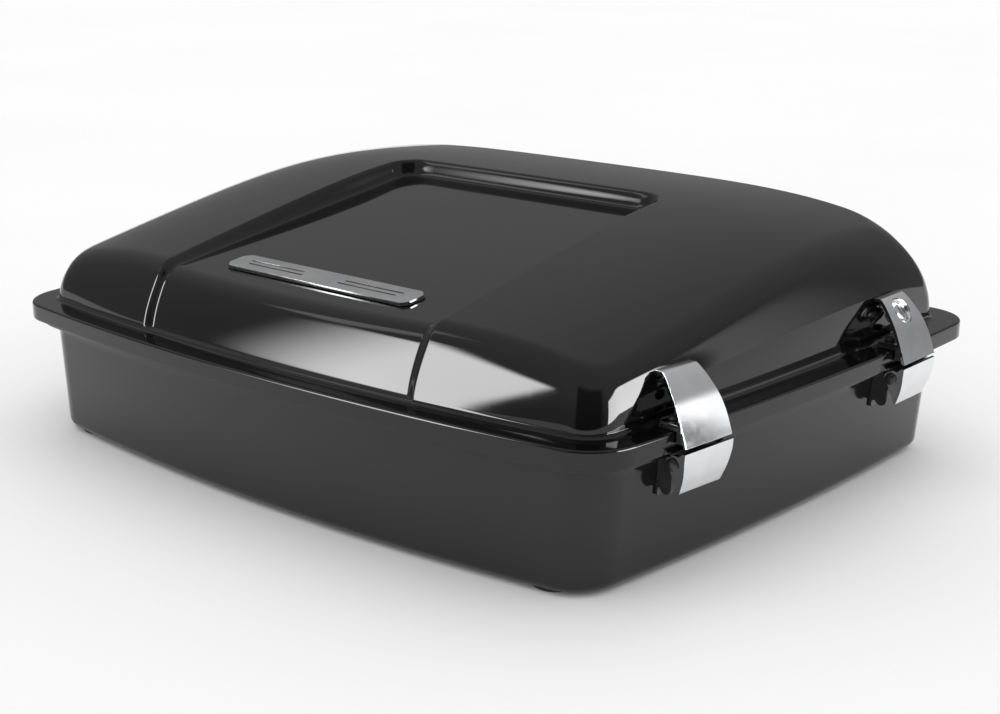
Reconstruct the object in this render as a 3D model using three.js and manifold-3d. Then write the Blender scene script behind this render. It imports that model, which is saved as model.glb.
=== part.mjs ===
// Motorcycle luggage trunk: a low moulded tub with a side-hinged lid, two draw latches,
// two butt hinges, a chrome badge bar and rubber mounting pads. Millimetres, +Z up.
// +Y is the front of the motorcycle, -Y the rear face, +X the latch side, -X the hinge side.
import * as THREE from 'three';
import Module from 'manifold-3d';
import { mergeVertices } from 'three/addons/utils/BufferGeometryUtils.js';

const wasm = await Module();
wasm.setup();

// ---------- driving dimensions ----------
const WALL = 3.5;                 // moulded shell thickness
const GAP = 0.3;                  // clearance between touching pieces
const RIM_WIDTH = 620;            // chord width and depth of the lid rim, before its sides bow
const RIM_DEPTH = 455;
const RIM_CORNER = 37.6;
const CORNER_FALL = 0.68;         // the rim's corner radius shrinks by this much per mm of inset
const BOW_REAR = 16.5;            // how far each side bows out at its middle
const BOW_FRONT = 10.4;
const BOW_SIDE = 6.3;
const TAPER = 0.05;               // the trunk is wider at the front by this share each way

const TUB_TOP = 98;               // heights above the underside of the tub
const TUB_INSET_TOP = 15.5;
const TUB_INSET_X = 23.4;
const TUB_INSET_Y = 15;
const TUB_CORNER = 33.5;
const TUB_EDGE_RADIUS = 7;
const LIP_INSET = 8;              // moulded lip round the tub, just under the lid rim
const LIP_CORNER = 34;
const LIP_LOW = 86;
const LIP_HIGH = 91.2;

const SKIRT_LOW = 91.7;           // lid rim band
const FLANGE_TOP = 104.7;
const FLANGE_BOTTOM = 101.5;
const FLANGE_WIDTH = 20;
const WALL_RISE = 72;             // the lid wall is laid out to this height above the flange
const WALL_RUN_SIDE = 24.8;       // and leans in by this much there
const WALL_RUN_REAR = 33.5;
const WALL_RUN_FRONT = 29.4;
const WALL_HEAD_CORNER = 34;
const CREASE_ROUND = 9;           // rounding between the lid wall and the lid top

const CROWN_HEIGHT = 213.2;       // the lid top's crown before it is eased off by its fall
const CROWN_Y = 70;               // the crown's highest line
const CROWN_SLOPE = 0.05;
const CROWN_FALL = 0.16;
const CROWN_EASE = 90;            // the fall grows over this distance from the highest line
const SIDE_FALL = 20;             // the top drops by this much at the fall's full width
const SIDE_FALL_WIDTH = 275;
const SIDE_FALL_POWER = 5;

const RECESS_HALF_WIDTH = 134.75; // recess in the lid top, open at the rear
const RECESS_FRONT = 69;
const RECESS_CORNER = 20;
const RECESS_STEP = 4.75;         // half the width of its sloping edge
const RECESS_SETBACK = 3.5;       // the rear wall steps in by this much across the recess
const FLOOR_HEIGHT = 148.5;
const FLOOR_REAR = -205;
const FLOOR_SLOPE = 0.139;

const PAD_HEIGHT = 2.5;           // rubber pads under the tub
const PAD_RADIUS = 16;

const PAD_REAR_Y = -192;
const PAD_REAR_REACH = 236;       // the outer pads' distance from the centreline
const PAD_FRONT_Y = 172;
const PAD_FRONT_REACH = 222;

const BADGE = { length: 185, width: 24, thickness: 1.4, y: -164, corner: 5 };
const BADGE_BACKING = { margin: 0.8, thickness: 0.8 };
const GROOVE = { length: 57, width: 1.5, depth: 0.6, y: 2.7 };
const GROOVE_REAR_START = 18;     // each pair's start from the middle; the front one starts further out
const GROOVE_FRONT_START = 21;

const LATCH_WIDTH = 47;           // across the lever's top
const COVER_WIDTH = 45.2;         // across the cover's lower edge
const COVER_TAPER = 0.28;         // share of that width lost by the cover's top
const LEVER_TAPER = 0.153;        // share of the lever's width lost by its tip
const COVER_TAPER_Z = 105;        // the cover is full width up to here, and narrows above
const COVER_TAPER_RISE = 33.7;
const LEVER_TAPER_Z = 86;         // the lever is full width down to here, and narrows below
const LEVER_TAPER_FALL = 21.3;
const LATCH_REAR_Y = -135.4;
const LATCH_FRONT_Y = 115.3;
const PIVOT_X = -0.8;             // lever pivot, from the rim face and from the underside of the tub
const PIVOT_Z = 83.7;
const PIN_RADIUS = 2;
const SCREW_RADIUS = 2;
const WALL_SCREW_Z = 68;          // screws through the tub wall, and the low edge of the sheets they hold
const SHEET_LOW = 58;
const LATCH_SCREW_Y = 9;          // from the latch's middle
const LATCH_PLATE_STAND = 0.8;    // backing plates stand off the curved wall by this much

const HINGE_WIDTH = 40;
const HINGE_REAR_Y = -128;
const HINGE_FRONT_Y = 122;
const HINGE_OUT = 6.6;            // hinge axis, outside the rim face
const HINGE_Z = 87;
const BARREL_RADIUS = 3.5;
const HINGE_PIN_RADIUS = 1.6;
const HINGE_SCREW_Y = 12;         // from the hinge's middle
const HINGE_LID_SCREW_X = -8;
const HINGE_PLATE_STAND = 1.9;
const SHEET = 1.8;                // hinge and bracket sheet steel

// ---------- materials ----------
const finish = (color, roughness, metalness) =>
  new THREE.MeshStandardMaterial({ color, roughness, metalness });
const BLACK_GLOSS = finish(0x141414, 0.08, 0);
const TUB_BLACK = finish(0x1c1b1a, 0.12, 0);
const CHROME = finish(0xd8dadd, 0.08, 1);
const BLACK_METAL = finish(0x1a1a1b, 0.35, 0.6);
const STEEL = finish(0x9a9c9f, 0.35, 1);
const RUBBER = finish(0x111111, 0.8, 0);

// ---------- solids ----------
// Merges shared vertices, drops collapsed triangles and turns the faces outward.
function closed(geometry) {
  geometry.deleteAttribute('normal');
  geometry.deleteAttribute('uv');
  const merged = mergeVertices(geometry, 1e-4);
  const points = merged.getAttribute('position').array;
  const source = merged.getIndex().array;
  const faces = [];
  let volume = 0;
  const a = new THREE.Vector3();
  const b = new THREE.Vector3();
  const c = new THREE.Vector3();
  for (let i = 0; i < source.length; i += 3) {
    const [p, q, r] = [source[i], source[i + 1], source[i + 2]];
    if (p === q || q === r || r === p) continue;
    faces.push(p, q, r);
    volume += a.fromArray(points, 3 * p).dot(b.fromArray(points, 3 * q).cross(c.fromArray(points, 3 * r)));
  }
  if (volume < 0) faces.reverse();
  const result = new THREE.BufferGeometry();
  result.setAttribute('position', new THREE.Float32BufferAttribute(points, 3));
  result.setIndex(faces);
  return result;
}

function toSolid(geometry) {
  const mesh = closed(geometry);
  return new wasm.Manifold(new wasm.Mesh({
    numProp: 3,
    vertProperties: new Float32Array(mesh.getAttribute('position').array),
    triVerts: new Uint32Array(mesh.getIndex().array),
  }));
}

function fromSolid(solid) {
  const mesh = solid.getMesh();
  const result = new THREE.BufferGeometry();
  result.setAttribute('position', new THREE.Float32BufferAttribute(mesh.vertProperties, 3));
  result.setIndex(Array.from(mesh.triVerts));
  return result;
}

const join = (first, ...rest) => fromSolid(rest.reduce((s, g) => s.add(toSolid(g)), toSolid(first)));
const cut = (first, ...rest) => fromSolid(rest.reduce((s, g) => s.subtract(toSolid(g)), toSolid(first)));

// A profile in (x, z) extruded along y, centred on y = 0.
function bar(profile, width) {
  const shape = new THREE.Shape(profile.map(([x, z]) => new THREE.Vector2(x, z)));
  const geometry = new THREE.ExtrudeGeometry(shape, { depth: width, bevelEnabled: false });
  return geometry.rotateX(Math.PI / 2).translate(0, width / 2, 0);
}

// A turned piece about the z axis from a profile of [radius, z] points that starts and ends on it.
const turned = (profile, sides = 14) =>
  new THREE.LatheGeometry(profile.map(([r, z]) => new THREE.Vector2(r, z)), sides).rotateX(Math.PI / 2);

const cylinder = (radius, length, sides = 10) =>
  turned([[0, -length / 2], [radius, -length / 2], [radius, length / 2], [0, length / 2]], sides);

// A pan-head screw along z: the head sits on z = 0 and the shank goes down.
const screw = (length) => turned([
  [0, -length], [SCREW_RADIUS, -length], [SCREW_RADIUS, 0], [4, 0], [4, 1.1], [2.6, 2.4], [0, 2.4],
], 10);

const screwHole = (depth) => cylinder(SCREW_RADIUS + GAP, depth);

// ---------- outlines ----------
// The trunk's plan outline, inset by given amounts on its sides, rear and front.
// Gives the side's x at a y, and the rear's and front's y at an x, each up to the corner's middle.
function outline(insetSide, insetRear, insetFront, corner) {
  const halfWidth = RIM_WIDTH / 2 - insetSide - corner;
  const rear = -RIM_DEPTH / 2 + insetRear + corner;
  const front = RIM_DEPTH / 2 - insetFront - corner;
  const middle = (rear + front) / 2;
  const halfDepth = (front - rear) / 2;
  const tapered = (x, y) => [x * (1 + TAPER * y / (RIM_DEPTH / 2)), y];
  const steps = 48;
  const track = (start, normalStart, point, normal) => {
    const points = [];
    for (let i = 0; i <= 8; i += 1) {
      const turn = normalStart + (normal(-1) - normalStart) * i / 8;
      points.push(tapered(start[0] + corner * Math.cos(turn), start[1] + corner * Math.sin(turn)));
    }
    for (let i = 1; i <= steps; i += 1) {
      const t = -1 + 2 * i / steps;
      const [x, y] = point(t);
      points.push(tapered(x + corner * Math.cos(normal(t)), y + corner * Math.sin(normal(t))));
    }
    return points;
  };
  // each stretch runs from a corner's middle along its side; the end corner is its mirror or its neighbour
  const rearPoint = (t) => [halfWidth * t, rear - BOW_REAR * (1 - t * t)];
  const rearNormal = (t) => -Math.PI / 2 + Math.atan2(2 * BOW_REAR * t, halfWidth);
  const frontPoint = (t) => [halfWidth * t, front + BOW_FRONT * (1 - t * t)];
  const frontNormal = (t) => Math.PI / 2 - Math.atan2(2 * BOW_FRONT * t, halfWidth);
  const sidePoint = (t) => [halfWidth + BOW_SIDE * (1 - t * t), middle + halfDepth * t];
  const sideNormal = (t) => Math.atan2(2 * BOW_SIDE * t, halfDepth);
  const rearTrack = track([-halfWidth, rear], -0.75 * Math.PI, rearPoint, rearNormal);
  const frontTrack = track([-halfWidth, front], 0.75 * Math.PI, frontPoint, frontNormal);
  const sideLow = track([halfWidth, rear], -0.25 * Math.PI, sidePoint, sideNormal);
  const sideTurn = sideNormal(1);
  for (let i = 1; i <= 8; i += 1) {
    const turn = sideTurn + (0.25 * Math.PI - sideTurn) * i / 8;
    sideLow.push(tapered(halfWidth + corner * Math.cos(turn), front + corner * Math.sin(turn)));
  }
  const lookUp = (points, value, from, to) => {
    let i = 1;
    while (i < points.length - 1 && points[i][from] < value) i += 1;
    const [p, q] = [points[i - 1], points[i]];
    return p[to] + (q[to] - p[to]) * (value - p[from]) / (q[from] - p[from]);
  };
  return {
    rearY: (x) => lookUp(rearTrack, -Math.abs(x), 0, 1),
    frontY: (x) => lookUp(frontTrack, -Math.abs(x), 0, 1),
    sideX: (y) => lookUp(sideLow, y, 1, 0),
    rearCorner: sideLow[0],
    frontCorner: sideLow[sideLow.length - 1],
  };
}

// Grid lines across the trunk. Inside the inner span they stay straight, and from there to the
// outer mark they spread to the outline's corner.
const COLUMN_INNER = 150;
const COLUMN_OUTER = 250;
const ROW_INNER_REAR = 130;
const ROW_OUTER_REAR = 230;
const ROW_INNER_FRONT = 100;
const ROW_OUTER_FRONT = 200;

const spread = (mark, inner, outer, corner) => (Math.abs(mark) <= inner
  ? mark
  : Math.sign(mark) * (inner + (Math.abs(mark) - inner) / (outer - inner) * (Math.abs(corner) - inner)));

const rowSpread = (mark, shape) => (mark < 0
  ? spread(mark, ROW_INNER_REAR, ROW_OUTER_REAR, shape.rearCorner[1])
  : spread(mark, ROW_INNER_FRONT, ROW_OUTER_FRONT, shape.frontCorner[1]));

const mirrored = (half) => [...half.slice(1).reverse().map((mark) => -mark), ...half];

const LID_GRID = {
  columns: mirrored([0, 65, 120, 130, 134.75, 139.5, 150, 190, 220, 236, 250]),
  rows: [-230, -218, -204, -170, -130, -70, -10, 30, 50, 60, 64.3, 69, 73.7, 85, 100, 140, 180, 190, 200],
};
const TUB_GRID = {
  columns: mirrored([0, 75, 150, 200, 230, 240, 250]),
  rows: [-230, -217, -204, -130, -40, 40, 100, 150, 180, 190, 200],
};

// One closed loop of [x, y] points along an outline, anticlockwise from the rear left corner.
function loop(shape, grid) {
  const { columns, rows } = grid;
  const points = [];
  columns.forEach((mark) => {
    const x = spread(mark, COLUMN_INNER, COLUMN_OUTER, shape.rearCorner[0]);
    points.push([x, shape.rearY(x)]);
  });
  rows.slice(1, -1).forEach((mark) => {
    const y = rowSpread(mark, shape);
    points.push([shape.sideX(y), y]);
  });
  [...columns].reverse().forEach((mark) => {
    const x = spread(mark, COLUMN_INNER, COLUMN_OUTER, shape.frontCorner[0]);
    points.push([x, shape.frontY(x)]);
  });
  rows.slice(1, -1).reverse().forEach((mark) => {
    const y = rowSpread(mark, shape);
    points.push([-shape.sideX(y), y]);
  });
  return points;
}

const atHeight = (points, z) => points.map(([x, y]) => [x, y, z]);

// The rim's outline moved inward by the same amount all round.
const rimOutline = (inset) => outline(inset, inset, inset, RIM_CORNER - CORNER_FALL * inset);

// Fills a ring with the grid: rows of [x, y, z] points whose edge is the ring.
function cap(ring, grid, height) {
  const { columns, rows } = grid;
  const [nc, nr] = [columns.length, rows.length];
  const rear = (j) => ring[j];
  const right = (i) => ring[nc - 1 + i];
  const front = (j) => ring[nc + nr - 2 + (nc - 1 - j)];
  const left = (i) => (i === 0 ? ring[0] : ring[2 * nc + nr - 3 + (nr - 1 - i)]);
  const [rearCorner, frontCorner] = [right(0), right(nr - 1)];
  const result = [];
  for (let i = 0; i < nr; i += 1) {
    const along = (right(i)[1] - rearCorner[1]) / (frontCorner[1] - rearCorner[1]);
    const nearRear = Math.max(0, (-ROW_INNER_REAR - rows[i]) / (ROW_OUTER_REAR - ROW_INNER_REAR));
    const nearFront = Math.max(0, (rows[i] - ROW_INNER_FRONT) / (ROW_OUTER_FRONT - ROW_INNER_FRONT));
    const cornerX = rearCorner[0] + along * (frontCorner[0] - rearCorner[0]);
    result.push(columns.map((mark, j) => {
      if (i === 0) return rear(j);
      if (i === nr - 1) return front(j);
      if (j === 0) return left(i);
      if (j === nc - 1) return right(i);
      const outward = Math.max(0, (Math.abs(mark) - COLUMN_INNER) / (COLUMN_OUTER - COLUMN_INNER));
      const x = rear(j)[0] + along * (front(j)[0] - rear(j)[0])
        + Math.sign(mark) * outward * (right(i)[0] - cornerX);
      const y = right(i)[1] + nearRear * (rear(j)[1] - rearCorner[1])
        + nearFront * (front(j)[1] - frontCorner[1]);
      return [x, y, height(x, y)];
    }));
  }
  return result;
}

// A shell swept through rings: a cap facing down closes the first ring and one facing up the last.
function shell(rings, lowCap, highCap) {
  const positions = [];
  const quad = (a, b, c, d) => positions.push(...a, ...b, ...c, ...a, ...c, ...d);
  const stitch = (lower, upper) => lower.forEach((point, i) => {
    const next = (i + 1) % lower.length;
    quad(point, lower[next], upper[next], upper[i]);
  });
  for (let k = 1; k < rings.length; k += 1) stitch(rings[k - 1], rings[k]);
  if (!lowCap) stitch(rings[rings.length - 1], rings[0]);
  const fill = (grid, up) => {
    for (let i = 1; i < grid.length; i += 1) {
      for (let j = 1; j < grid[i].length; j += 1) {
        const corners = [grid[i - 1][j - 1], grid[i - 1][j], grid[i][j], grid[i][j - 1]];
        quad(...(up ? corners : corners.reverse()));
      }
    }
  };
  if (lowCap) fill(lowCap, false);
  if (highCap) fill(highCap, true);
  const geometry = new THREE.BufferGeometry();
  geometry.setAttribute('position', new THREE.Float32BufferAttribute(positions, 3));
  return geometry;
}

// ---------- lid surface ----------
const clamp01 = (value) => Math.min(1, Math.max(0, value));
const smooth = (value) => clamp01(value) ** 2 * (3 - 2 * clamp01(value));

// 1 on the recess floor, 0 on the shoulders, with a smooth step between.
function recessMask(x, y) {
  const across = Math.max(Math.abs(x) - (RECESS_HALF_WIDTH - RECESS_CORNER), 0);
  const along = Math.max(y - (RECESS_FRONT - RECESS_CORNER), 0);
  const outside = Math.hypot(across, along) - RECESS_CORNER;
  return 1 - smooth((outside + RECESS_STEP) / (2 * RECESS_STEP));
}

// Height of the lid top: a long crown that falls to the rear and over the sides, less the recess.
function topHeight(x, y) {
  const crown = CROWN_HEIGHT + CROWN_SLOPE * (y - CROWN_Y) - CROWN_FALL * Math.hypot(y - CROWN_Y, CROWN_EASE);
  const shoulder = crown - SIDE_FALL * (Math.abs(x) / SIDE_FALL_WIDTH) ** SIDE_FALL_POWER;
  const floor = FLOOR_HEIGHT + FLOOR_SLOPE * (y - FLOOR_REAR);
  const mask = recessMask(x, y);
  return shoulder * (1 - mask) + floor * mask;
}

// The lid wall between its foot and the layout loop above it, on its way to a crease at the given share
// of the rise: it leaves the flange upright and rolls in, more so on the sides.
function wallPoint(foot, head, share, crease) {
  const [dx, dy] = [head[0] - foot[0], head[1] - foot[1]];
  const sideways = dx * dx / (dx * dx + dy * dy);
  const run = crease ** (1.2 + 0.3 * sideways);
  const lean = run * Math.max(share / crease, 0) ** (1.5 + 1.5 * sideways);
  const step = foot[1] < 0 ? RECESS_SETBACK * recessMask(foot[0], FLOOR_REAR) * clamp01(share * 12) : 0;
  return [foot[0] + lean * dx, foot[1] + lean * dy + step];
}

// Share of the wall rise at which the wall meets the lid top, lowered by the given depth.
function creaseShare(foot, head, lowered) {
  let [low, high] = [0.1, 1.4];
  for (let i = 0; i < 24; i += 1) {
    const share = (low + high) / 2;
    const [x, y] = wallPoint(foot, head, share, share);
    if (FLANGE_TOP + WALL_RISE * share > topHeight(x, y) - lowered) high = share;
    else low = share;
  }
  return (low + high) / 2;
}

// Rings from the wall's foot up to the edge of the lid top, with a rounded crease.
function wallRings(inset, lowered, wallShares, creaseSteps) {
  const run = FLANGE_WIDTH + inset;
  const foot = loop(rimOutline(run), LID_GRID);
  const headShape = outline(
    run + WALL_RUN_SIDE,
    run + WALL_RUN_REAR,
    run + WALL_RUN_FRONT,
    WALL_HEAD_CORNER,
  );
  const head = loop(headShape, LID_GRID);
  const rings = wallShares.map(() => []);
  const crease = creaseSteps.map(() => []);
  foot.forEach((point, i) => {
    const meet = creaseShare(point, head[i], lowered);
    const wallEnd = meet - CREASE_ROUND / WALL_RISE;
    wallShares.forEach((share, k) => {
      const plan = wallPoint(point, head[i], share * wallEnd, meet);
      rings[k].push([...plan, FLANGE_TOP + WALL_RISE * share * wallEnd]);
    });
    const [dx, dy] = [head[i][0] - point[0], head[i][1] - point[1]];
    const length = Math.hypot(dx, dy);
    const corner = [...wallPoint(point, head[i], meet, meet), FLANGE_TOP + WALL_RISE * meet];
    const start = rings[rings.length - 1][i];
    const [x, y] = [corner[0] + CREASE_ROUND * dx / length, corner[1] + CREASE_ROUND * dy / length];
    const end = [x, y, topHeight(x, y) - lowered];
    creaseSteps.forEach((t, k) => {
      crease[k].push([0, 1, 2].map((axis) => start[axis] * (1 - t) ** 2 + 2 * corner[axis] * t * (1 - t)
        + end[axis] * t * t));
    });
  });
  return [...rings, ...crease];
}

function lidShell() {
  const band = (inset, z) => atHeight(loop(rimOutline(inset), LID_GRID), z);
  const outer = [
    band(0, SKIRT_LOW),
    band(0, FLANGE_TOP - 2),
    band(2, FLANGE_TOP),
    band(FLANGE_WIDTH - 3, FLANGE_TOP),
    ...wallRings(0, 0, [0.06, 0.4, 0.75, 1], [0.3, 0.65, 1]),
  ];
  const underTop = wallRings(WALL, WALL, [0, 0.6, 1], [0.5, 1]);
  const inner = [
    ...underTop.reverse(),
    band(WALL - 0.5, FLANGE_BOTTOM),
    band(WALL - 0.5, SKIRT_LOW),
  ];
  inner[inner.length - 3].forEach((point) => { point[2] = FLANGE_BOTTOM; });
  const rings = [...inner, ...outer];
  const innerTop = cap(rings[0], LID_GRID, (x, y) => topHeight(x, y) - WALL);
  const outerTop = cap(rings[rings.length - 1], LID_GRID, topHeight);
  return shell(rings, innerTop, outerTop);
}

// ---------- tub ----------
const tubInset = (z) => {
  const share = z / TUB_TOP;
  return [
    TUB_INSET_X + (TUB_INSET_TOP - TUB_INSET_X) * share,
    TUB_INSET_Y + (TUB_INSET_TOP - TUB_INSET_Y) * share,
  ];
};

function tubLoop(z, inward) {
  const [insetX, insetY] = tubInset(z);
  const shape = outline(insetX + inward, insetY + inward, insetY + inward, TUB_CORNER - inward * 0.5);
  return loop(shape, TUB_GRID);
}

function tubShell() {
  const lip = (z) => atHeight(loop(outline(LIP_INSET, LIP_INSET, LIP_INSET, LIP_CORNER), TUB_GRID), z);
  const r = TUB_EDGE_RADIUS;
  const rings = [
    atHeight(tubLoop(0, r), 0),
    atHeight(tubLoop(r * 0.3, r * 0.3), r * 0.3),
    atHeight(tubLoop(r, 0), r),
    atHeight(tubLoop(LIP_LOW, 0), LIP_LOW),
    lip(LIP_LOW),
    lip(LIP_HIGH),
    atHeight(tubLoop(LIP_HIGH, 0), LIP_HIGH),
    atHeight(tubLoop(TUB_TOP, 0), TUB_TOP),
    atHeight(tubLoop(TUB_TOP, WALL), TUB_TOP),
    atHeight(tubLoop(r + 2, WALL), r + 2),
    atHeight(tubLoop(WALL, r + WALL), WALL),
  ];
  const flat = (z) => () => z;
  return shell(rings, cap(rings[0], TUB_GRID, flat(0)), cap(rings[rings.length - 1], TUB_GRID, flat(WALL)));
}

// A seal on the tub's top edge, a little narrower than the tub wall.
function gasket() {
  const inner = tubLoop(TUB_TOP, WALL - 0.4);
  const outer = tubLoop(TUB_TOP, 0.4);
  const low = TUB_TOP + GAP;
  const high = FLANGE_BOTTOM - GAP;
  return shell([atHeight(inner, low), atHeight(outer, low), atHeight(outer, high), atHeight(inner, high)]);
}

// ---------- assembly ----------
const RIM = rimOutline(0);
const trunk = new THREE.Group();

function place(parent, name, geometry, material) {
  const mesh = new THREE.Mesh(closed(geometry), material);
  mesh.name = name;
  parent.add(mesh);
  return mesh;
}

// Gives a group at a point of the rim on the latch side (+1) or hinge side (-1), its x axis pointing out.
function station(side, y, angle) {
  const group = new THREE.Group();
  group.position.set(side * RIM.sideX(y), y, 0);
  group.rotation.z = angle;
  trunk.add(group);
  group.updateMatrixWorld(true);
  return group;
}

// The same shape moved from a station into the trunk's frame, as a tool for cutting the shells.
const inTrunk = (group, geometry) => geometry.clone().applyMatrix4(group.matrixWorld);

const lidHoles = [];
const tubHoles = [];

// The tub wall's outer face beside a station: its x there, from the rim face, at a height.
function wallBeside(y) {
  return (z) => {
    const [insetX, insetY] = tubInset(z);
    return outline(insetX, insetY, insetY, TUB_CORNER).sideX(y) - RIM.sideX(y);
  };
}
const WALL_LEAN = Math.atan((TUB_INSET_X - TUB_INSET_TOP) / TUB_TOP);

// A group on the tub's wall at the height of its screws, its x axis square to the wall.
function onWall(group, wallX, y) {
  const holder = new THREE.Group();
  holder.position.set(wallX(WALL_SCREW_Z), y, WALL_SCREW_Z);
  holder.rotation.y = WALL_LEAN;
  group.add(holder);
  holder.updateMatrixWorld(true);
  return holder;
}

// A screw square to the tub's wall, with its head this far out from the wall.
function wallScrew(group, wallX, name, y, out, length) {
  const holder = onWall(group, wallX, y);
  place(holder, name, screw(length).rotateY(Math.PI / 2).translate(out, 0, 0), STEEL);
  tubHoles.push(inTrunk(holder, screwHole(14).rotateY(Math.PI / 2)));
}

// A tool for drilling a sheet that lies against the tub's wall.
const wallDrill = (wallX) =>
  screwHole(14).rotateY(Math.PI / 2 + WALL_LEAN).translate(wallX(WALL_SCREW_Z), 0, WALL_SCREW_Z);

// Moves a tool to both screws of a pair, each this far from the middle.
const pair = (tool, reach) => [-1, 1].map((side) => tool.clone().translate(0, side * reach, 0));

// A plate inside the tub, drilled for the two wall screws.
function backingPlate(group, wallX, name, reach, stand) {
  const inside = -WALL - stand;
  const plate = bar([[inside, -7], [inside, 7], [inside - 2, 7], [inside - 2, -7]], 2 * reach + 16);
  const hole = screwHole(20).rotateY(Math.PI / 2);
  place(onWall(group, wallX, 0), name, cut(plate, ...pair(hole, reach)), STEEL);
}

// ---------- latches ----------
const disc = (x, z, radius, from, to, steps) => Array.from({ length: steps + 1 }, (_, i) => {
  const angle = from + (to - from) * i / steps;
  return [x + radius * Math.cos(angle), z + radius * Math.sin(angle)];
});

const pivotHole = () =>
  cylinder(PIN_RADIUS + GAP, LATCH_WIDTH + 10, 12).rotateX(Math.PI / 2).translate(PIVOT_X, 0, PIVOT_Z);

// Narrows a piece about y = 0 by a share that depends on the height.
function narrowed(geometry, shareAt) {
  const points = geometry.getAttribute('position');
  for (let i = 0; i < points.count; i += 1) points.setY(i, points.getY(i) * shareAt(points.getZ(i)));
  return geometry;
}
const coverShare = (z) => 1 - COVER_TAPER * clamp01((z - COVER_TAPER_Z) / COVER_TAPER_RISE) ** 1.8;
const leverShare = (z) => 1 - LEVER_TAPER * clamp01((LEVER_TAPER_Z - z) / LEVER_TAPER_FALL);

// The lever's side view: its outer face from the top edge down to the tip, and its inner face back up.
function leverProfile() {
  const outside = new THREE.CatmullRomCurve3([
    new THREE.Vector3(9.5, 0, 92.5), new THREE.Vector3(8.7, 0, 83.8),
    new THREE.Vector3(6.6, 0, 74.3), new THREE.Vector3(2.9, 0, 64.7),
  ]).getPoints(9).map((p) => [p.x, p.z]);
  const inside = [...outside].reverse().map(([x, z]) => [x - 2.2, z]);
  return { outside, inside: [[1.3, 63.8], ...inside] };
}

function latchLever() {
  const { outside, inside } = leverProfile();
  const skin = bar([...outside, ...inside], LATCH_WIDTH);
  const hub = disc(PIVOT_X, PIVOT_Z, 5.2, 0.75 * Math.PI, 1.3 * Math.PI, 5);
  // the notch at the cheek's top clears the rim when the lever is swung out
  const cheekOutline = [
    ...outside.map(([x, z]) => [x - 0.5, z]), [0.9, 64.6], ...hub.reverse(),
    [0.6, 90.2], [4.3, 89.5], [7.1, 92.3],
  ];
  const cheek = bar(cheekOutline, 2.6);
  const half = LATCH_WIDTH / 2 - 1.4;
  const whole = join(skin, cheek.clone().translate(0, -half, 0), cheek.clone().translate(0, half, 0));
  return cut(narrowed(whole, leverShare), pivotHole());
}

function latchBracket(wallX) {
  const width = LATCH_WIDTH - 10;
  const high = LIP_LOW - 0.5;
  const [backLow, backHigh] = [wallX(SHEET_LOW) + GAP, wallX(high) + GAP];
  const back = bar([
    [backLow, SHEET_LOW], [backLow + SHEET, SHEET_LOW], [backHigh + SHEET, high], [backHigh, high],
  ], width);
  const armOutline = [
    [backHigh + 0.2, high], [backLow + 0.2, SHEET_LOW + 4],
    ...disc(-10, SHEET_LOW + 7, 4.8, 1.1 * Math.PI, 2 * Math.PI, 6),
    [-5.2, 72], ...disc(PIVOT_X, PIVOT_Z, 4.8, 1.35 * Math.PI, 2.8 * Math.PI, 9), [-7, high],
  ];
  const arm = bar(armOutline, 2.6);
  const half = width / 2 - 1.3;
  const whole = join(back, arm.clone().translate(0, -half, 0), arm.clone().translate(0, half, 0));
  return cut(whole, pivotHole(), ...pair(wallDrill(wallX), LATCH_SCREW_Y));
}

function latchPivot() {
  const half = LATCH_WIDTH / 2 + GAP;
  return turned([
    [0, -half - 2], [2.6, -half - 1.7], [4.4, -half - 0.5], [4.4, -half], [PIN_RADIUS, -half],
    [PIN_RADIUS, half], [4.4, half], [4.4, half + 0.5], [2.6, half + 1.7], [0, half + 2],
  ], 14).rotateX(Math.PI / 2).translate(PIVOT_X, 0, PIVOT_Z);
}

const KEEPER_TOP = FLANGE_TOP + GAP + 2.2;
const KEEPER_SCREW_X = -8;
const KEEPER_SCREW_Y = 14;
const COVER_LIP_REAR = -23.3;       // where each cover's lip meets the leaning lid wall
const COVER_LIP_FRONT = -22.2;

function latchKeeper() {
  const profile = [
    [0.6, 97.6], [6, 97.6], [4.6, 101.5], [2.4, KEEPER_TOP], [-14, KEEPER_TOP],
    [-14, FLANGE_TOP + GAP], [0.6, FLANGE_TOP + GAP],
  ];
  const hole = screwHole(20).translate(KEEPER_SCREW_X, 0, FLANGE_TOP);
  return cut(bar(profile, COVER_WIDTH - 0.8), ...pair(hole, KEEPER_SCREW_Y));
}

// The curved cover over the keeper, from a lip on the lid wall down to the lever, with a foot that the
// keeper's screws hold down. Any further tools are cut from it.
function latchCover(lipEnd, tools) {
  const foot = KEEPER_TOP + GAP;
  const profile = [
    [lipEnd, 138.9], [-16.5, 138.9], [-15.3, 138.2], [-11.2, 134.2], [-6.4, 128.3], [-1, 120.7],
    [3.5, 111.5], [7.1, 102.2], [9.25, 95.5], [7.1, 95.8], [5, 101.5], [2.7, foot],
    [-13, foot], [-13, foot + 2], [1.9, foot + 2], [1.5, 110.6], [-2.9, 119.6], [-8.2, 127],
    [-12.8, 132.7], [-16.9, 136.7], [lipEnd, 136.7],
  ];
  const hole = screwHole(20).translate(KEEPER_SCREW_X, 0, foot);
  return cut(narrowed(bar(profile, COVER_WIDTH), coverShare), ...pair(hole, KEEPER_SCREW_Y), ...tools);
}

const LOCK = { x: -7.5, z: 129.5, tilt: Math.atan2(4, 5), radius: 10.2 };

// Moves a piece turned about z onto the lock's axis, which leaves the cover square to its face.
const onLockAxis = (geometry) => geometry.rotateY(Math.PI / 2 - LOCK.tilt).translate(LOCK.x, 0, LOCK.z);

const LOCK_DISH = LOCK.radius - GAP;

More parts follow.
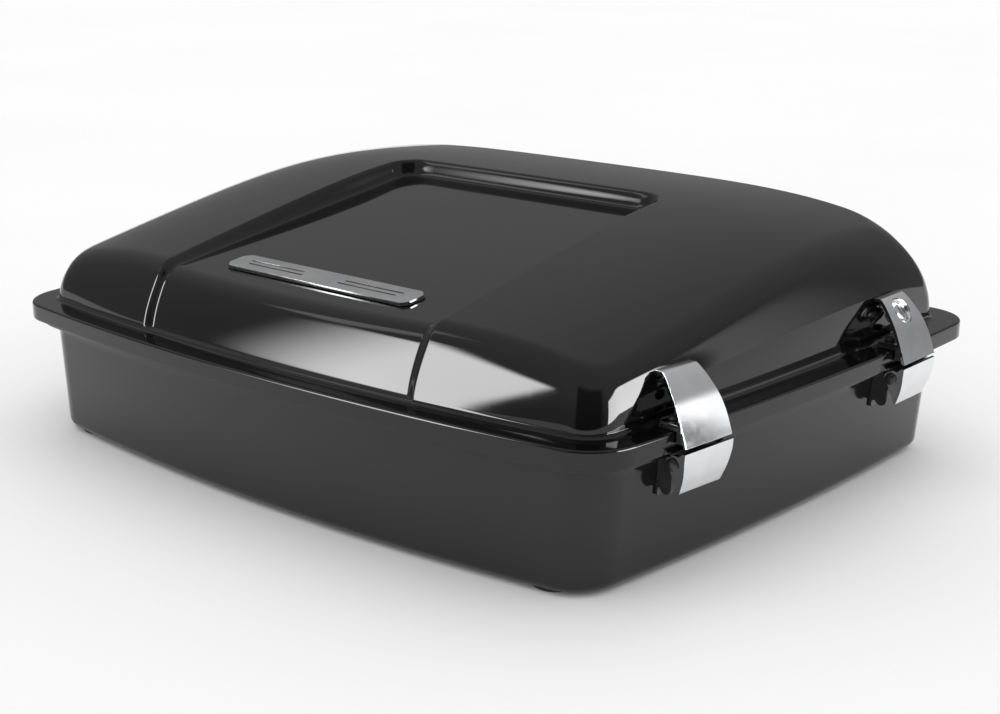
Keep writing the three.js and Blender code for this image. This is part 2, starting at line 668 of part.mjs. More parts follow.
const lockCup = () => onLockAxis(turned([
  [6.6, -6], [LOCK_DISH, -6], [LOCK_DISH, -0.6], [9, -0.6], [8.4, -4.4], [6.6, -4.4], [6.6, -6],
], 20));

function lockBarrel() {
  const barrel = turned([[0, -13], [3, -13], [3, -10], [6.2, -10], [6.2, -2.2], [5.6, -1.6], [0, -1.6]], 20);
  const slot = new THREE.BoxGeometry(7, 1.3, 3).translate(0, 0, -2.2);
  return onLockAxis(cut(barrel, slot));
}

function lockCam() {
  const outlineShape = new THREE.Shape();
  outlineShape.absarc(0, 0, 5, Math.PI * 0.2, Math.PI * 1.8);
  outlineShape.lineTo(12, -3);
  outlineShape.lineTo(12, 3);
  const plate = new THREE.ExtrudeGeometry(outlineShape, { depth: 1.6, bevelEnabled: false, curveSegments: 8 });
  const hole = cylinder(3 + GAP, 8, 12);
  return onLockAxis(cut(plate.translate(0, 0, -12.2), hole.translate(0, 0, -11)));
}

function addLatch(prefix, y, locked) {
  const slope = (RIM.sideX(y + 10) - RIM.sideX(y - 10)) / 20;
  const group = station(1, y, Math.atan2(-slope, 1));
  const wallX = wallBeside(y);
  const named = (piece) => `${prefix}_latch_${piece}`;
  place(group, named('bracket'), latchBracket(wallX), BLACK_METAL);
  place(group, named('lever'), latchLever(), CHROME);
  place(group, named('pivot_pin'), latchPivot(), BLACK_METAL);
  place(group, named('keeper'), latchKeeper(), BLACK_METAL);
  const bores = locked ? [onLockAxis(cylinder(LOCK.radius, 30, 20))] : [];
  place(group, named('cover'), latchCover(locked ? COVER_LIP_FRONT : COVER_LIP_REAR, bores), CHROME);
  if (locked) {
    place(group, 'lock_cup', lockCup(), CHROME);
    place(group, 'lock_barrel', lockBarrel(), STEEL);
    place(group, 'lock_cam', lockCam(), STEEL);
  }
  [-1, 1].forEach((side) => {
    const hand = side < 0 ? 'rear' : 'front';
    wallScrew(group, wallX, named(`bracket_screw_${hand}`), side * LATCH_SCREW_Y, GAP * 2 + SHEET + 0.2, 12);
    const head = KEEPER_TOP + 2 * GAP + 2;
    const spot = [KEEPER_SCREW_X, side * KEEPER_SCREW_Y];
    const bolt = screw(head - FLANGE_BOTTOM - 0.2).translate(...spot, head);
    place(group, named(`keeper_screw_${hand}`), bolt, BLACK_METAL);
    lidHoles.push(inTrunk(group, screwHole(12).translate(...spot, FLANGE_TOP - 2)));
  });
  backingPlate(group, wallX, named('backing_plate'), LATCH_SCREW_Y, LATCH_PLATE_STAND);
}

// ---------- hinges ----------
const LEAF_GAP = 1.3;             // the rim bows past the straight hinge line by less than this
const TAB_OUT = LEAF_GAP + SHEET;
const LEAF_LIFT = 0.5;            // the lid leaf's clearance over the flange
const KNUCKLES = 5;

const barrel = (length, y) =>
  cylinder(BARREL_RADIUS, length, 16).rotateX(Math.PI / 2).translate(HINGE_OUT, y, HINGE_Z);

// Joins a leaf's sheet to its own knuckles and clears the other leaf's.
function leaf(sheet, ownsKnuckle) {
  const pitch = HINGE_WIDTH / KNUCKLES;
  let solid = sheet;
  for (let k = 0; k < KNUCKLES; k += 1) {
    const y = -HINGE_WIDTH / 2 + pitch * (k + 0.5);
    if (!ownsKnuckle(k)) {
      const clear = cylinder(BARREL_RADIUS + 0.5, pitch + 0.4, 16).rotateX(Math.PI / 2);
      solid = cut(solid, clear.translate(HINGE_OUT, y, HINGE_Z));
    }
  }
  for (let k = 0; k < KNUCKLES; k += 1) {
    const y = -HINGE_WIDTH / 2 + pitch * (k + 0.5);
    if (ownsKnuckle(k)) solid = join(solid, barrel(pitch - 0.4, y));
  }
  const pinHole = cylinder(HINGE_PIN_RADIUS + GAP, HINGE_WIDTH + 10, 12).rotateX(Math.PI / 2);
  return cut(solid, pinHole.translate(HINGE_OUT, 0, HINGE_Z));
}

function tubLeaf(wallX) {
  const shelf = HINGE_Z - BARREL_RADIUS;
  const [backLow, backHigh] = [wallX(SHEET_LOW) + LEAF_GAP, wallX(shelf) + LEAF_GAP];
  const sheet = bar([
    [backLow, SHEET_LOW], [backLow + SHEET, SHEET_LOW], [backHigh + SHEET, shelf], [HINGE_OUT, shelf],
    [HINGE_OUT + 1, shelf + 0.9], [HINGE_OUT, shelf + SHEET], [backHigh, shelf + SHEET],
  ], HINGE_WIDTH);
  return cut(leaf(sheet, (k) => k % 2 === 0), ...pair(wallDrill(wallX), HINGE_SCREW_Y));
}

function lidLeaf() {
  const top = FLANGE_TOP + LEAF_LIFT;
  const sheet = bar([
    [TAB_OUT, HINGE_Z], [TAB_OUT + 1.2, HINGE_Z], [TAB_OUT + 1.2, HINGE_Z + 2.6], [TAB_OUT, HINGE_Z + 6],
    [TAB_OUT, top + SHEET], [-15, top + SHEET], [-15, top], [LEAF_GAP, top], [LEAF_GAP, HINGE_Z + 2.6],
    [LEAF_GAP + 0.6, HINGE_Z],
  ], HINGE_WIDTH);
  const hole = screwHole(12).translate(HINGE_LID_SCREW_X, 0, top);
  return cut(leaf(sheet, (k) => k % 2 === 1), ...pair(hole, HINGE_SCREW_Y));
}

function hingePin() {
  const half = HINGE_WIDTH / 2 + 0.4;
  return turned([
    [0, -half - 1.2], [2.2, -half - 1], [2.8, -half], [HINGE_PIN_RADIUS, -half],
    [HINGE_PIN_RADIUS, half], [2.8, half], [2.2, half + 1], [0, half + 1.2],
  ], 12).rotateX(Math.PI / 2).translate(HINGE_OUT, 0, HINGE_Z);
}

// Both hinges share one straight line, so both turn by the angle of the chord between them.
const HINGE_SLOPE = (RIM.sideX(HINGE_FRONT_Y) - RIM.sideX(HINGE_REAR_Y)) / (HINGE_FRONT_Y - HINGE_REAR_Y);

function addHinge(prefix, y) {
  const group = station(-1, y, Math.atan2(-HINGE_SLOPE, -1));
  const wallX = wallBeside(y);
  const named = (piece) => `${prefix}_hinge_${piece}`;
  place(group, named('tub_leaf'), tubLeaf(wallX), BLACK_METAL);
  place(group, named('lid_leaf'), lidLeaf(), BLACK_METAL);
  place(group, named('pin'), hingePin(), STEEL);
  [-1, 1].forEach((side) => {
    const hand = side < 0 ? 'front' : 'rear';
    wallScrew(group, wallX, named(`tub_screw_${hand}`), side * HINGE_SCREW_Y, TAB_OUT + GAP + 0.2, 13);
    const head = FLANGE_TOP + LEAF_LIFT + SHEET + GAP;
    const spot = [HINGE_LID_SCREW_X, side * HINGE_SCREW_Y];
    place(group, named(`lid_screw_${hand}`), screw(head - FLANGE_BOTTOM - 0.2).translate(...spot, head), STEEL);
    lidHoles.push(inTrunk(group, screwHole(12).translate(...spot, FLANGE_TOP - 2)));
  });
  backingPlate(group, wallX, named('backing_plate'), HINGE_SCREW_Y, HINGE_PLATE_STAND);
}

// ---------- badge and pads ----------
function roundedBar(length, width, corner, thickness) {
  const [x, y] = [length / 2, width / 2];
  const shape = new THREE.Shape();
  shape.moveTo(-x + corner, -y);
  shape.lineTo(x - corner, -y);
  shape.absarc(x - corner, -y + corner, corner, -Math.PI / 2, 0);
  shape.absarc(x - corner, y - corner, corner, 0, Math.PI / 2);
  shape.absarc(-x + corner, y - corner, corner, Math.PI / 2, Math.PI);
  shape.absarc(-x + corner, -y + corner, corner, Math.PI, 1.5 * Math.PI);
  return new THREE.ExtrudeGeometry(shape, { depth: thickness, bevelEnabled: false, curveSegments: 5 });
}

function addBadge() {
  const group = new THREE.Group();
  group.position.set(0, BADGE.y, FLOOR_HEIGHT + FLOOR_SLOPE * (BADGE.y - FLOOR_REAR));
  group.rotation.x = Math.atan(FLOOR_SLOPE);
  trunk.add(group);
  const [length, width] = [BADGE.length, BADGE.width].map((size) => size + 2 * BADGE_BACKING.margin);
  const backing = roundedBar(length, width, BADGE.corner, BADGE_BACKING.thickness);
  place(group, 'badge_backing_pad', backing.translate(0, 0, GAP), RUBBER);
  const plate = roundedBar(BADGE.length, BADGE.width, BADGE.corner, BADGE.thickness);
  const tool = new THREE.BoxGeometry(GROOVE.length, GROOVE.width, 2 * GROOVE.depth);
  const grooves = [-1, 1].flatMap((hand) => [
    tool.clone().translate(hand * (GROOVE_REAR_START + GROOVE.length / 2), -GROOVE.y, BADGE.thickness),
    tool.clone().translate(hand * (GROOVE_FRONT_START + GROOVE.length / 2), GROOVE.y, BADGE.thickness),
  ]);
  const low = 2 * GAP + BADGE_BACKING.thickness;
  place(group, 'badge_plate', cut(plate, ...grooves).translate(0, 0, low), CHROME);
}

function addPads() {
  const ends = [['rear', PAD_REAR_Y, PAD_REAR_REACH], ['front', PAD_FRONT_Y, PAD_FRONT_REACH]];
  ends.forEach(([end, y, reach]) => {
    [['left', -1], ['centre', 0], ['right', 1]].forEach(([hand, side]) => {
      const pad = turned([
        [0, -PAD_HEIGHT], [PAD_RADIUS - 1, -PAD_HEIGHT], [PAD_RADIUS, -PAD_HEIGHT + 1],
        [PAD_RADIUS, -GAP], [0, -GAP],
      ], 16);
      place(trunk, `${end}_${hand}_pad`, pad.translate(side * reach, y, 0), RUBBER);
    });
  });
}

addLatch('rear', LATCH_REAR_Y, false);
addLatch('front', LATCH_FRONT_Y, true);
addHinge('rear', HINGE_REAR_Y);
addHinge('front', HINGE_FRONT_Y);
addBadge();
addPads();
place(trunk, 'tub_shell', cut(tubShell(), ...tubHoles), TUB_BLACK);
place(trunk, 'lid_shell', cut(lidShell(), ...lidHoles), BLACK_GLOSS);
place(trunk, 'lid_gasket', gasket(), RUBBER);

// The origin is on the ground under the middle of the whole trunk.
const extent = new THREE.Box3().setFromObject(trunk, true);
const centre = extent.getCenter(new THREE.Vector3());
trunk.position.set(-centre.x, -centre.y, PAD_HEIGHT);

export default trunk;
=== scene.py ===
# Motorcycle luggage trunk, dressed round the imported CAD frame.
# Shapes are laid out in the trunk's own millimetres (z up from the underside of the tub) and
# moved into the frame's metres by to_frame(), whose offset is read from the CAD lid.
import math
import bpy
import numpy as np
from mathutils import Matrix, Vector


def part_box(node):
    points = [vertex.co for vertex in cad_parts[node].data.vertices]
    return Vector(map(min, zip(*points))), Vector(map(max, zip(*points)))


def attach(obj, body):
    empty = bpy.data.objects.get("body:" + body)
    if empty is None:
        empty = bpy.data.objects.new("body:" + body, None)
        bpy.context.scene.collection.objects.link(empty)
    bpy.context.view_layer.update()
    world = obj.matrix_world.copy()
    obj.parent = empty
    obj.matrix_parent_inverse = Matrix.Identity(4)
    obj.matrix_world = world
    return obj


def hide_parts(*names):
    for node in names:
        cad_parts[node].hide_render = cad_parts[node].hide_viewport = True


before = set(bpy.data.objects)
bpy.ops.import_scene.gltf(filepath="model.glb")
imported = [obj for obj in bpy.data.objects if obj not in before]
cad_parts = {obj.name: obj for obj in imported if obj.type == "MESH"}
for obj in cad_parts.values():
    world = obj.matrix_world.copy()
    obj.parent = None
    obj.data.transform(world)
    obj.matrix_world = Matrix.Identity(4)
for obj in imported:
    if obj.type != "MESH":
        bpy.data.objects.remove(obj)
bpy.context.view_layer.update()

# ---------- driving dimensions (mm), as in the CAD model ----------
WALL = 3.5
GAP = 0.3
RIM_WIDTH = 620.0
RIM_DEPTH = 455.0
RIM_CORNER = 37.6
CORNER_FALL = 0.68          # the outline's corner radius shrinks by this much per mm of inset
BOW_REAR = 16.5
BOW_FRONT = 10.4
BOW_SIDE = 6.3
TAPER = 0.05

TUB_TOP = 98.0
TUB_INSET_TOP = 15.5
TUB_INSET_X = 23.4
TUB_INSET_Y = 15.0
TUB_CORNER = 33.5
TUB_EDGE_RADIUS = 7.0
LIP_INSET = 8.0
LIP_LOW = 86.0
LIP_HIGH = 91.2
LIP_CORNER = 34.0

SKIRT_LOW = 91.7
FLANGE_TOP = 104.7
FLANGE_BOTTOM = 101.5
FLANGE_WIDTH = 20.0
FOOT_FILLET = 3.5
RIM_ROUND = 1.6
WALL_RISE = 72.0
WALL_RUN_SIDE = 24.8
WALL_RUN_REAR = 33.5
WALL_RUN_FRONT = 29.4
WALL_HEAD_CORNER = 34.0
CREASE_ROUND = 9.0

CROWN_HEIGHT = 213.2
CROWN_Y = 70.0
CROWN_SLOPE = 0.05
CROWN_FALL = 0.16
CROWN_ROUND = 90.0
SIDE_FALL = 20.0
SIDE_REACH = 275.0

RECESS_HALF_WIDTH = 134.75
RECESS_FRONT = 69.0
RECESS_CORNER = 20.0
RECESS_STEP = 4.75
RECESS_SETBACK = 3.5
SETBACK_RAMP = 22.0         # how fast the rear wall's setback starts above the flange
FLOOR_HEIGHT = 148.5
FLOOR_REAR = -205.0
FLOOR_SLOPE = 0.139

BADGE_LENGTH = 185.0
BADGE_WIDTH = 24.0
BADGE_Y = -164.0
BADGE_CORNER = 5.0
BADGE_THICKNESS = 1.4
BADGE_FOAM = 0.8
BADGE_FOAM_MARGIN = 0.7
GROOVE_LENGTH = 57.0
GROOVE_WIDTH = 1.5
GROOVE_DEPTH = 0.6
GROOVE_CORNER = 0.6
GROOVE_Y = 2.7
GROOVE_START = {-1: 18.0, 1: 21.0}       # from the badge's middle, in the rear and the front line

LATCH_WIDTH = 47.0
COVER_WIDTH = 45.2
COVER_TAPER = 0.28          # share of the width lost by the cover's top
COVER_TAPER_Z = 105.0
COVER_TAPER_RISE = 33.7
LEVER_TAPER = 0.153         # share of the width lost by the lever's tip
LEVER_TAPER_Z = 86.0
LEVER_TAPER_FALL = 21.3
LATCH_SHEET = 2.2
CHEEK_SHEET = 2.4
BRACKET_ARM = 2.6
BRACKET_LOW = 58.0
BRACKET_INSET = 5.0
KEEPER_TOP = FLANGE_TOP + GAP + LATCH_SHEET
KEEPER_SCREW_X = -8.0
KEEPER_SCREW_Y = 14.0
LATCH_SCREW_Y = 9.0
LATCH_PLATE_STAND = 0.8
LATCH_Y = {"rear": -135.4, "front": 115.3}
COVER_LIP = {"rear": -23.3, "front": -22.2}
PIVOT_X = -0.8
PIVOT_Z = 83.7
LOCK_X = -7.5
LOCK_Z = 129.5
LOCK_TILT = math.atan2(4, 5)
LOCK_RADIUS = 10.2

HINGE_WIDTH = 40.0
HINGE_Y = {"rear": -128.0, "front": 122.0}
HINGE_OUT = 6.6
HINGE_Z = 87.0
HINGE_SCREW_Y = 12.0
HINGE_LID_SCREW_X = -8.0
HINGE_PLATE_STAND = 1.9
HINGE_ROD_END = 0.4         # how far the rod's heads stand past the knuckles
LEAF_GAP = 1.3              # the rim bows past the straight hinge line by less than this
LEAF_LIFT = 0.5             # from the lid flange to the leaf
SHEET = 1.8
SCREW_AIR = 0.2             # spare length under a wall screw's head and at a lid screw's end
WALL_SCREW_Z = 68.0         # height of the screws through the tub wall

PAD_PLACES = (("rear", -192.0, 236.0), ("front", 172.0, 222.0))    # end, y and reach to each side

CAMERA_AZIMUTH = 40.0
CAMERA_ELEVATION = 16.49
CAMERA_DISTANCE = 1321.0
CAMERA_AIM_RIGHT = 21.86
CAMERA_AIM_UP = 57.66
CAMERA_LENS = 58.0
ROOM_LIGHT = 1.06
FLOOR_RADIUS = 9.0          # metres
FLOOR_SIDES = 96


# ---------- outlines ----------
class Outline:
    """The trunk's plan outline inset on its sides, rear and front, with corners of one radius."""

    def __init__(self, side, rear, front, corner):
        half_width = RIM_WIDTH / 2 - side - corner
        low = -RIM_DEPTH / 2 + rear + corner
        high = RIM_DEPTH / 2 - front - corner
        middle, half_depth = (low + high) / 2, (high - low) / 2
        t = np.linspace(-1, 1, 401)
        bow = 1 - t * t

        def stretch(x, y, normal, start, end=None):
            turns = [np.linspace(start, normal[0], 25)[:-1], normal]
            xs = [np.full(24, x[0]), x]
            ys = [np.full(24, y[0]), y]
            if end is not None:
                turns.append(np.linspace(normal[-1], end, 25)[1:])
                xs.append(np.full(24, x[-1]))
                ys.append(np.full(24, y[-1]))
            turn, x, y = (np.concatenate(part) for part in (turns, xs, ys))
            x, y = x + corner * np.cos(turn), y + corner * np.sin(turn)
            return x * (1 + TAPER * y / (RIM_DEPTH / 2)), y

        quarter = math.pi / 4
        self.rear = stretch(
            half_width * t, low - BOW_REAR * bow,
            -2 * quarter + np.arctan2(2 * BOW_REAR * t, half_width), -3 * quarter,
        )
        self.front = stretch(
            half_width * t, high + BOW_FRONT * bow,
            2 * quarter - np.arctan2(2 * BOW_FRONT * t, half_width), 3 * quarter,
        )
        self.side = stretch(
            half_width + BOW_SIDE * bow, middle + half_depth * t,
            np.arctan2(2 * BOW_SIDE * t, half_depth), -quarter, quarter,
        )
        self.rear_corner = (self.side[0][0], self.side[1][0])
        self.front_corner = (self.side[0][-1], self.side[1][-1])

    def rear_y(self, x):
        return np.interp(-np.abs(x), *self.rear)

    def front_y(self, x):
        return np.interp(-np.abs(x), *self.front)

    def side_x(self, y):
        return np.interp(y, self.side[1], self.side[0])


def inset_outline(inset):
    return Outline(inset, inset, inset, RIM_CORNER - CORNER_FALL * inset)


RIM = inset_outline(0.0)

# ---------- grids ----------
COLUMN_INNER, COLUMN_OUTER = 150.0, 250.0
ROW_INNER_REAR, ROW_OUTER_REAR = -130.0, -230.0
ROW_INNER_FRONT, ROW_OUTER_FRONT = 100.0, 200.0


def marks(start, *stretches):
    """Grid marks from a start through (end, steps) stretches."""
    values = [start]
    for end, steps in stretches:
        values.extend(np.linspace(values[-1], end, steps + 1)[1:])
    return np.array(values)


def mirrored(half):
    return np.concatenate([-half[:0:-1], half])


class Grid:
    def __init__(self, half_columns, rows):
        self.columns = mirrored(half_columns)
        self.rows = rows

    def xs(self, corner):
        c = self.columns
        share = (np.abs(c) - COLUMN_INNER) / (COLUMN_OUTER - COLUMN_INNER)
        outer = COLUMN_INNER + share * (corner - COLUMN_INNER)
        return np.where(np.abs(c) <= COLUMN_INNER, c, np.sign(c) * outer)

    def ys(self, shape):
        r = self.rows
        rear = ROW_INNER_REAR + (r - ROW_INNER_REAR) / (ROW_OUTER_REAR - ROW_INNER_REAR) * (
            shape.rear_corner[1] - ROW_INNER_REAR)
        front = ROW_INNER_FRONT + (r - ROW_INNER_FRONT) / (ROW_OUTER_FRONT - ROW_INNER_FRONT) * (
            shape.front_corner[1] - ROW_INNER_FRONT)
        return np.where(r < ROW_INNER_REAR, rear, np.where(r > ROW_INNER_FRONT, front, r))

    def loop(self, shape):
        """An anticlockwise loop of points from the rear left corner."""
        rear_x, front_x = self.xs(shape.rear_corner[0]), self.xs(shape.front_corner[0])[::-1]
        y = self.ys(shape)[1:-1]
        return np.concatenate([
            np.stack([rear_x, shape.rear_y(rear_x)], 1),
            np.stack([shape.side_x(y), y], 1),
            np.stack([front_x, shape.front_y(front_x)], 1),
            np.stack([-shape.side_x(y), y], 1)[::-1],
        ])

    def border(self):
        """Indices into a loop of the cap's border: rear, right, front, left, each low to high."""
        nc, nr = len(self.columns), len(self.rows)
        size = 2 * (nc + nr - 2)
        rear = np.arange(nc)
        right = nc - 1 + np.arange(nr)
        front = (nc + nr - 2 + np.arange(nc))[::-1]
        left = (size - np.arange(nr)) % size
        return rear, right, front, left

    def cap(self, ring):
        """Plan points that fill a ring: an array of rows by columns by (x, y)."""
        rear, right, front, left = (ring[i][:, :2] for i in self.border())
        along = ((right[:, 1] - right[0, 1]) / (right[-1, 1] - right[0, 1]))[:, None]
        near_rear = np.clip((self.rows - ROW_INNER_REAR) / (ROW_OUTER_REAR - ROW_INNER_REAR), 0, 1)[:, None]
        near_front = np.clip((self.rows - ROW_INNER_FRONT) / (ROW_OUTER_FRONT - ROW_INNER_FRONT), 0, 1)
        near_front = near_front[:, None]
        outward = np.clip((np.abs(self.columns) - COLUMN_INNER) / (COLUMN_OUTER - COLUMN_INNER), 0, 1)
        outward = (np.sign(self.columns) * outward)[None, :]
        corner_x = right[0, 0] + along * (right[-1, 0] - right[0, 0])
        x = rear[None, :, 0] * (1 - along) + front[None, :, 0] * along + outward * (right[:, :1] - corner_x)
        y = right[:, 1:] + near_rear * (rear[None, :, 1] - right[0, 1]) + near_front * (
            front[None, :, 1] - right[-1, 1])
        plan = np.stack([x, y], 2)
        plan[0], plan[-1], plan[:, 0], plan[:, -1] = rear, front, left, right
        return plan


LID_GRID = Grid(
    marks(0.0, (120, 14), (128, 4), (142, 20), (150, 4), (215, 12), (250, 20)),
    marks(-230.0, (-195, 20), (-130, 9), (40, 20), (56, 7), (82, 30), (100, 5), (165, 11), (200, 20)),
)
TUB_GRID = Grid(
    marks(0.0, (150, 12), (215, 7), (250, 16)),
    marks(-230.0, (-195, 16), (-130, 6), (100, 16), (165, 6), (200, 16)),
)


# ---------- mesh building ----------
OFFSET = Vector((
    sum(corner.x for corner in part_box("lid_shell")) * 500,
    sum(corner.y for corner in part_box("lid_shell")) * 500
    - (RIM.rear_y(0.0) + RIM.front_y(0.0)) / 2,
    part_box("lid_shell")[0].z * 1000 - SKIRT_LOW,
))
to_frame = Matrix.Scale(0.001, 4) @ Matrix.Translation(OFFSET)


def add_mesh(name, points, faces, material, matrix=Matrix.Identity(4), face_material=None, smooth=True):
    """A mesh object at the origin, its points moved from trunk millimetres into the frame."""
    materials = material if isinstance(material, list) else [material]
    mesh = bpy.data.meshes.new(name)
    placed = np.asarray(points, float) @ np.array((to_frame @ matrix).to_3x3()).T
    placed += np.array((to_frame @ matrix).translation)
    mesh.from_pydata(placed.tolist(), [], faces)
    for entry in materials:
        mesh.materials.append(entry)
    if face_material is not None:
        mesh.polygons.foreach_set("material_index", face_material)
    mesh.polygons.foreach_set("use_smooth", [smooth] * len(mesh.polygons))
    mesh.update()
    mesh.validate()
    obj = bpy.data.objects.new(name, mesh)
    bpy.context.scene.collection.objects.link(obj)
    return obj


def finish_piece(obj, node, body):
    """The piece stands for its CAD node and rides on its body."""
    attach(obj, body)
    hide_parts(node)
    return obj


def bevel(obj, width, segments=3, angle=32):
    """Rounds the piece's sharp edges by a width in millimetres, with even shading."""
    modifier = obj.modifiers.new("edges", "BEVEL")
    modifier.width = width * 0.001
    modifier.segments = segments
    modifier.limit_method = "ANGLE"
    modifier.angle_limit = math.radians(angle)
    modifier.harden_normals = True
    modifier.miter_outer = "MITER_ARC"
    return obj


def shell(name, rings, grid, low_height, high_height, materials, ring_material):
    """A closed shell swept through rings, with caps on the first and last one."""
    count = len(rings[0])
    points = [np.asarray(ring) for ring in rings]
    base = [k * count for k in range(len(rings))]
    following = np.roll(np.arange(count), -1)
    here = np.arange(count)
    faces, indices = [], []

    def stitch(a, b, index):
        quads = np.stack([a + here, a + following, b + following, b + here], 1)
        faces.extend(quads.tolist())
        indices.extend([index] * count)

    for k in range(1, len(rings)):
        stitch(base[k - 1], base[k], ring_material[k - 1])
    if low_height is None:
        stitch(base[-1], base[0], ring_material[-1])
        return add_mesh(name, np.concatenate(points), faces, materials, face_material=indices)
    total = count * len(rings)
    for start, height, up, index in ((base[0], low_height, False, 1), (base[-1], high_height, True, 0)):
        ring = rings[start // count]
        plan = grid.cap(np.asarray(ring))
        rows, columns = plan.shape[:2]
        numbers = np.full((rows, columns), -1)
        inner = plan[1:-1, 1:-1].reshape(-1, 2)
        numbers[1:-1, 1:-1] = total + np.arange(len(inner)).reshape(rows - 2, columns - 2)
        total += len(inner)
        rear, right, front, left = grid.border()
        numbers[0], numbers[-1], numbers[:, 0], numbers[:, -1] = (
            start + rear, start + front, start + left, start + right)
        points.append(np.column_stack([inner, height(inner[:, 0], inner[:, 1])]))
        quads = np.stack([numbers[:-1, :-1], numbers[:-1, 1:], numbers[1:, 1:], numbers[1:, :-1]], 2)
        quads = quads.reshape(-1, 4)
        faces.extend((quads if up else quads[:, ::-1]).tolist())
        indices.extend([index] * len(quads))
    return add_mesh(name, np.concatenate(points), faces, materials, face_material=indices)


def at_height(plan, z):
    return np.column_stack([plan, np.full(len(plan), z)])


def quarter_turn(steps):
    return [math.pi / 2 * i / steps for i in range(steps + 1)]


# ---------- materials ----------
def new_material(name, colour, roughness, metallic=0.0, coat=0.0, coat_roughness=0.03, ior=1.5):
    material = bpy.data.materials.new(name)
    material.use_nodes = True
    shader = material.node_tree.nodes["Principled BSDF"]
    shader.inputs["Base Color"].default_value = (*colour, 1)
    shader.inputs["Roughness"].default_value = roughness
    shader.inputs["Metallic"].default_value = metallic
    shader.inputs["Coat Weight"].default_value = coat
    shader.inputs["Coat Roughness"].default_value = coat_roughness
    shader.inputs["IOR"].default_value = ior
    return material


def noise_on(material, scale, detail=3.0, stretch=(1, 1, 1)):
    """A noise pattern in the piece's own metres. Gives the node."""
    tree = material.node_tree
    place = tree.nodes.new("ShaderNodeTexCoord")
    mapping = tree.nodes.new("ShaderNodeMapping")
    mapping.inputs["Scale"].default_value = stretch
    noise = tree.nodes.new("ShaderNodeTexNoise")
    noise.inputs["Scale"].default_value = scale
    noise.inputs["Detail"].default_value = detail
    tree.links.new(place.outputs["Object"], mapping.inputs["Vector"])
    tree.links.new(mapping.outputs["Vector"], noise.inputs["Vector"])
    return noise


def vary(material, socket, noise, low, high):
    """Drives a number of the shader by a pattern, between two values."""
    tree = material.node_tree
    spread_node = tree.nodes.new("ShaderNodeMapRange")
    spread_node.inputs["From Min"].default_value = 0.3
    spread_node.inputs["From Max"].default_value = 0.7
    spread_node.inputs["To Min"].default_value = low
    spread_node.inputs["To Max"].default_value = high
    tree.links.new(noise.outputs["Fac"], spread_node.inputs["Value"])
    tree.links.new(spread_node.outputs["Result"], tree.nodes["Principled BSDF"].inputs[socket])


def tint(material, noise, dark, light):
    """Drives the base colour by a pattern, between two colours."""
    tree = material.node_tree
    ramp = tree.nodes.new("ShaderNodeValToRGB")
    ramp.color_ramp.elements[0].position, ramp.color_ramp.elements[1].position = 0.35, 0.65
    ramp.color_ramp.elements[0].color = (*dark, 1)
    ramp.color_ramp.elements[1].color = (*light, 1)
    tree.links.new(noise.outputs["Fac"], ramp.inputs["Fac"])
    tree.links.new(ramp.outputs["Color"], tree.nodes["Principled BSDF"].inputs["Base Color"])


def bump(material, noise, strength, depth):
    """Raises a pattern by a depth in millimetres. Later ones stack on earlier ones."""
    tree = material.node_tree
    node = tree.nodes.new("ShaderNodeBump")
    node.inputs["Strength"].default_value = strength
    node.inputs["Distance"].default_value = depth * 0.001
    normal = tree.nodes["Principled BSDF"].inputs["Normal"]
    if normal.is_linked:
        tree.links.new(normal.links[0].from_socket, node.inputs["Normal"])
    tree.links.new(noise.outputs["Fac"], node.inputs["Height"])
    tree.links.new(node.outputs["Normal"], normal)


def paint(name, dark, light, roughness, peel):
    """Polished gloss black with a faint orange peel."""
    material = new_material(name, dark, roughness)
    tint(material, noise_on(material, 9.0), dark, light)
    vary(material, "Roughness", noise_on(material, 22.0, 5.0), roughness * 0.8, roughness * 1.25)
    bump(material, noise_on(material, 330.0, 1.0), peel, 0.012)
    return material


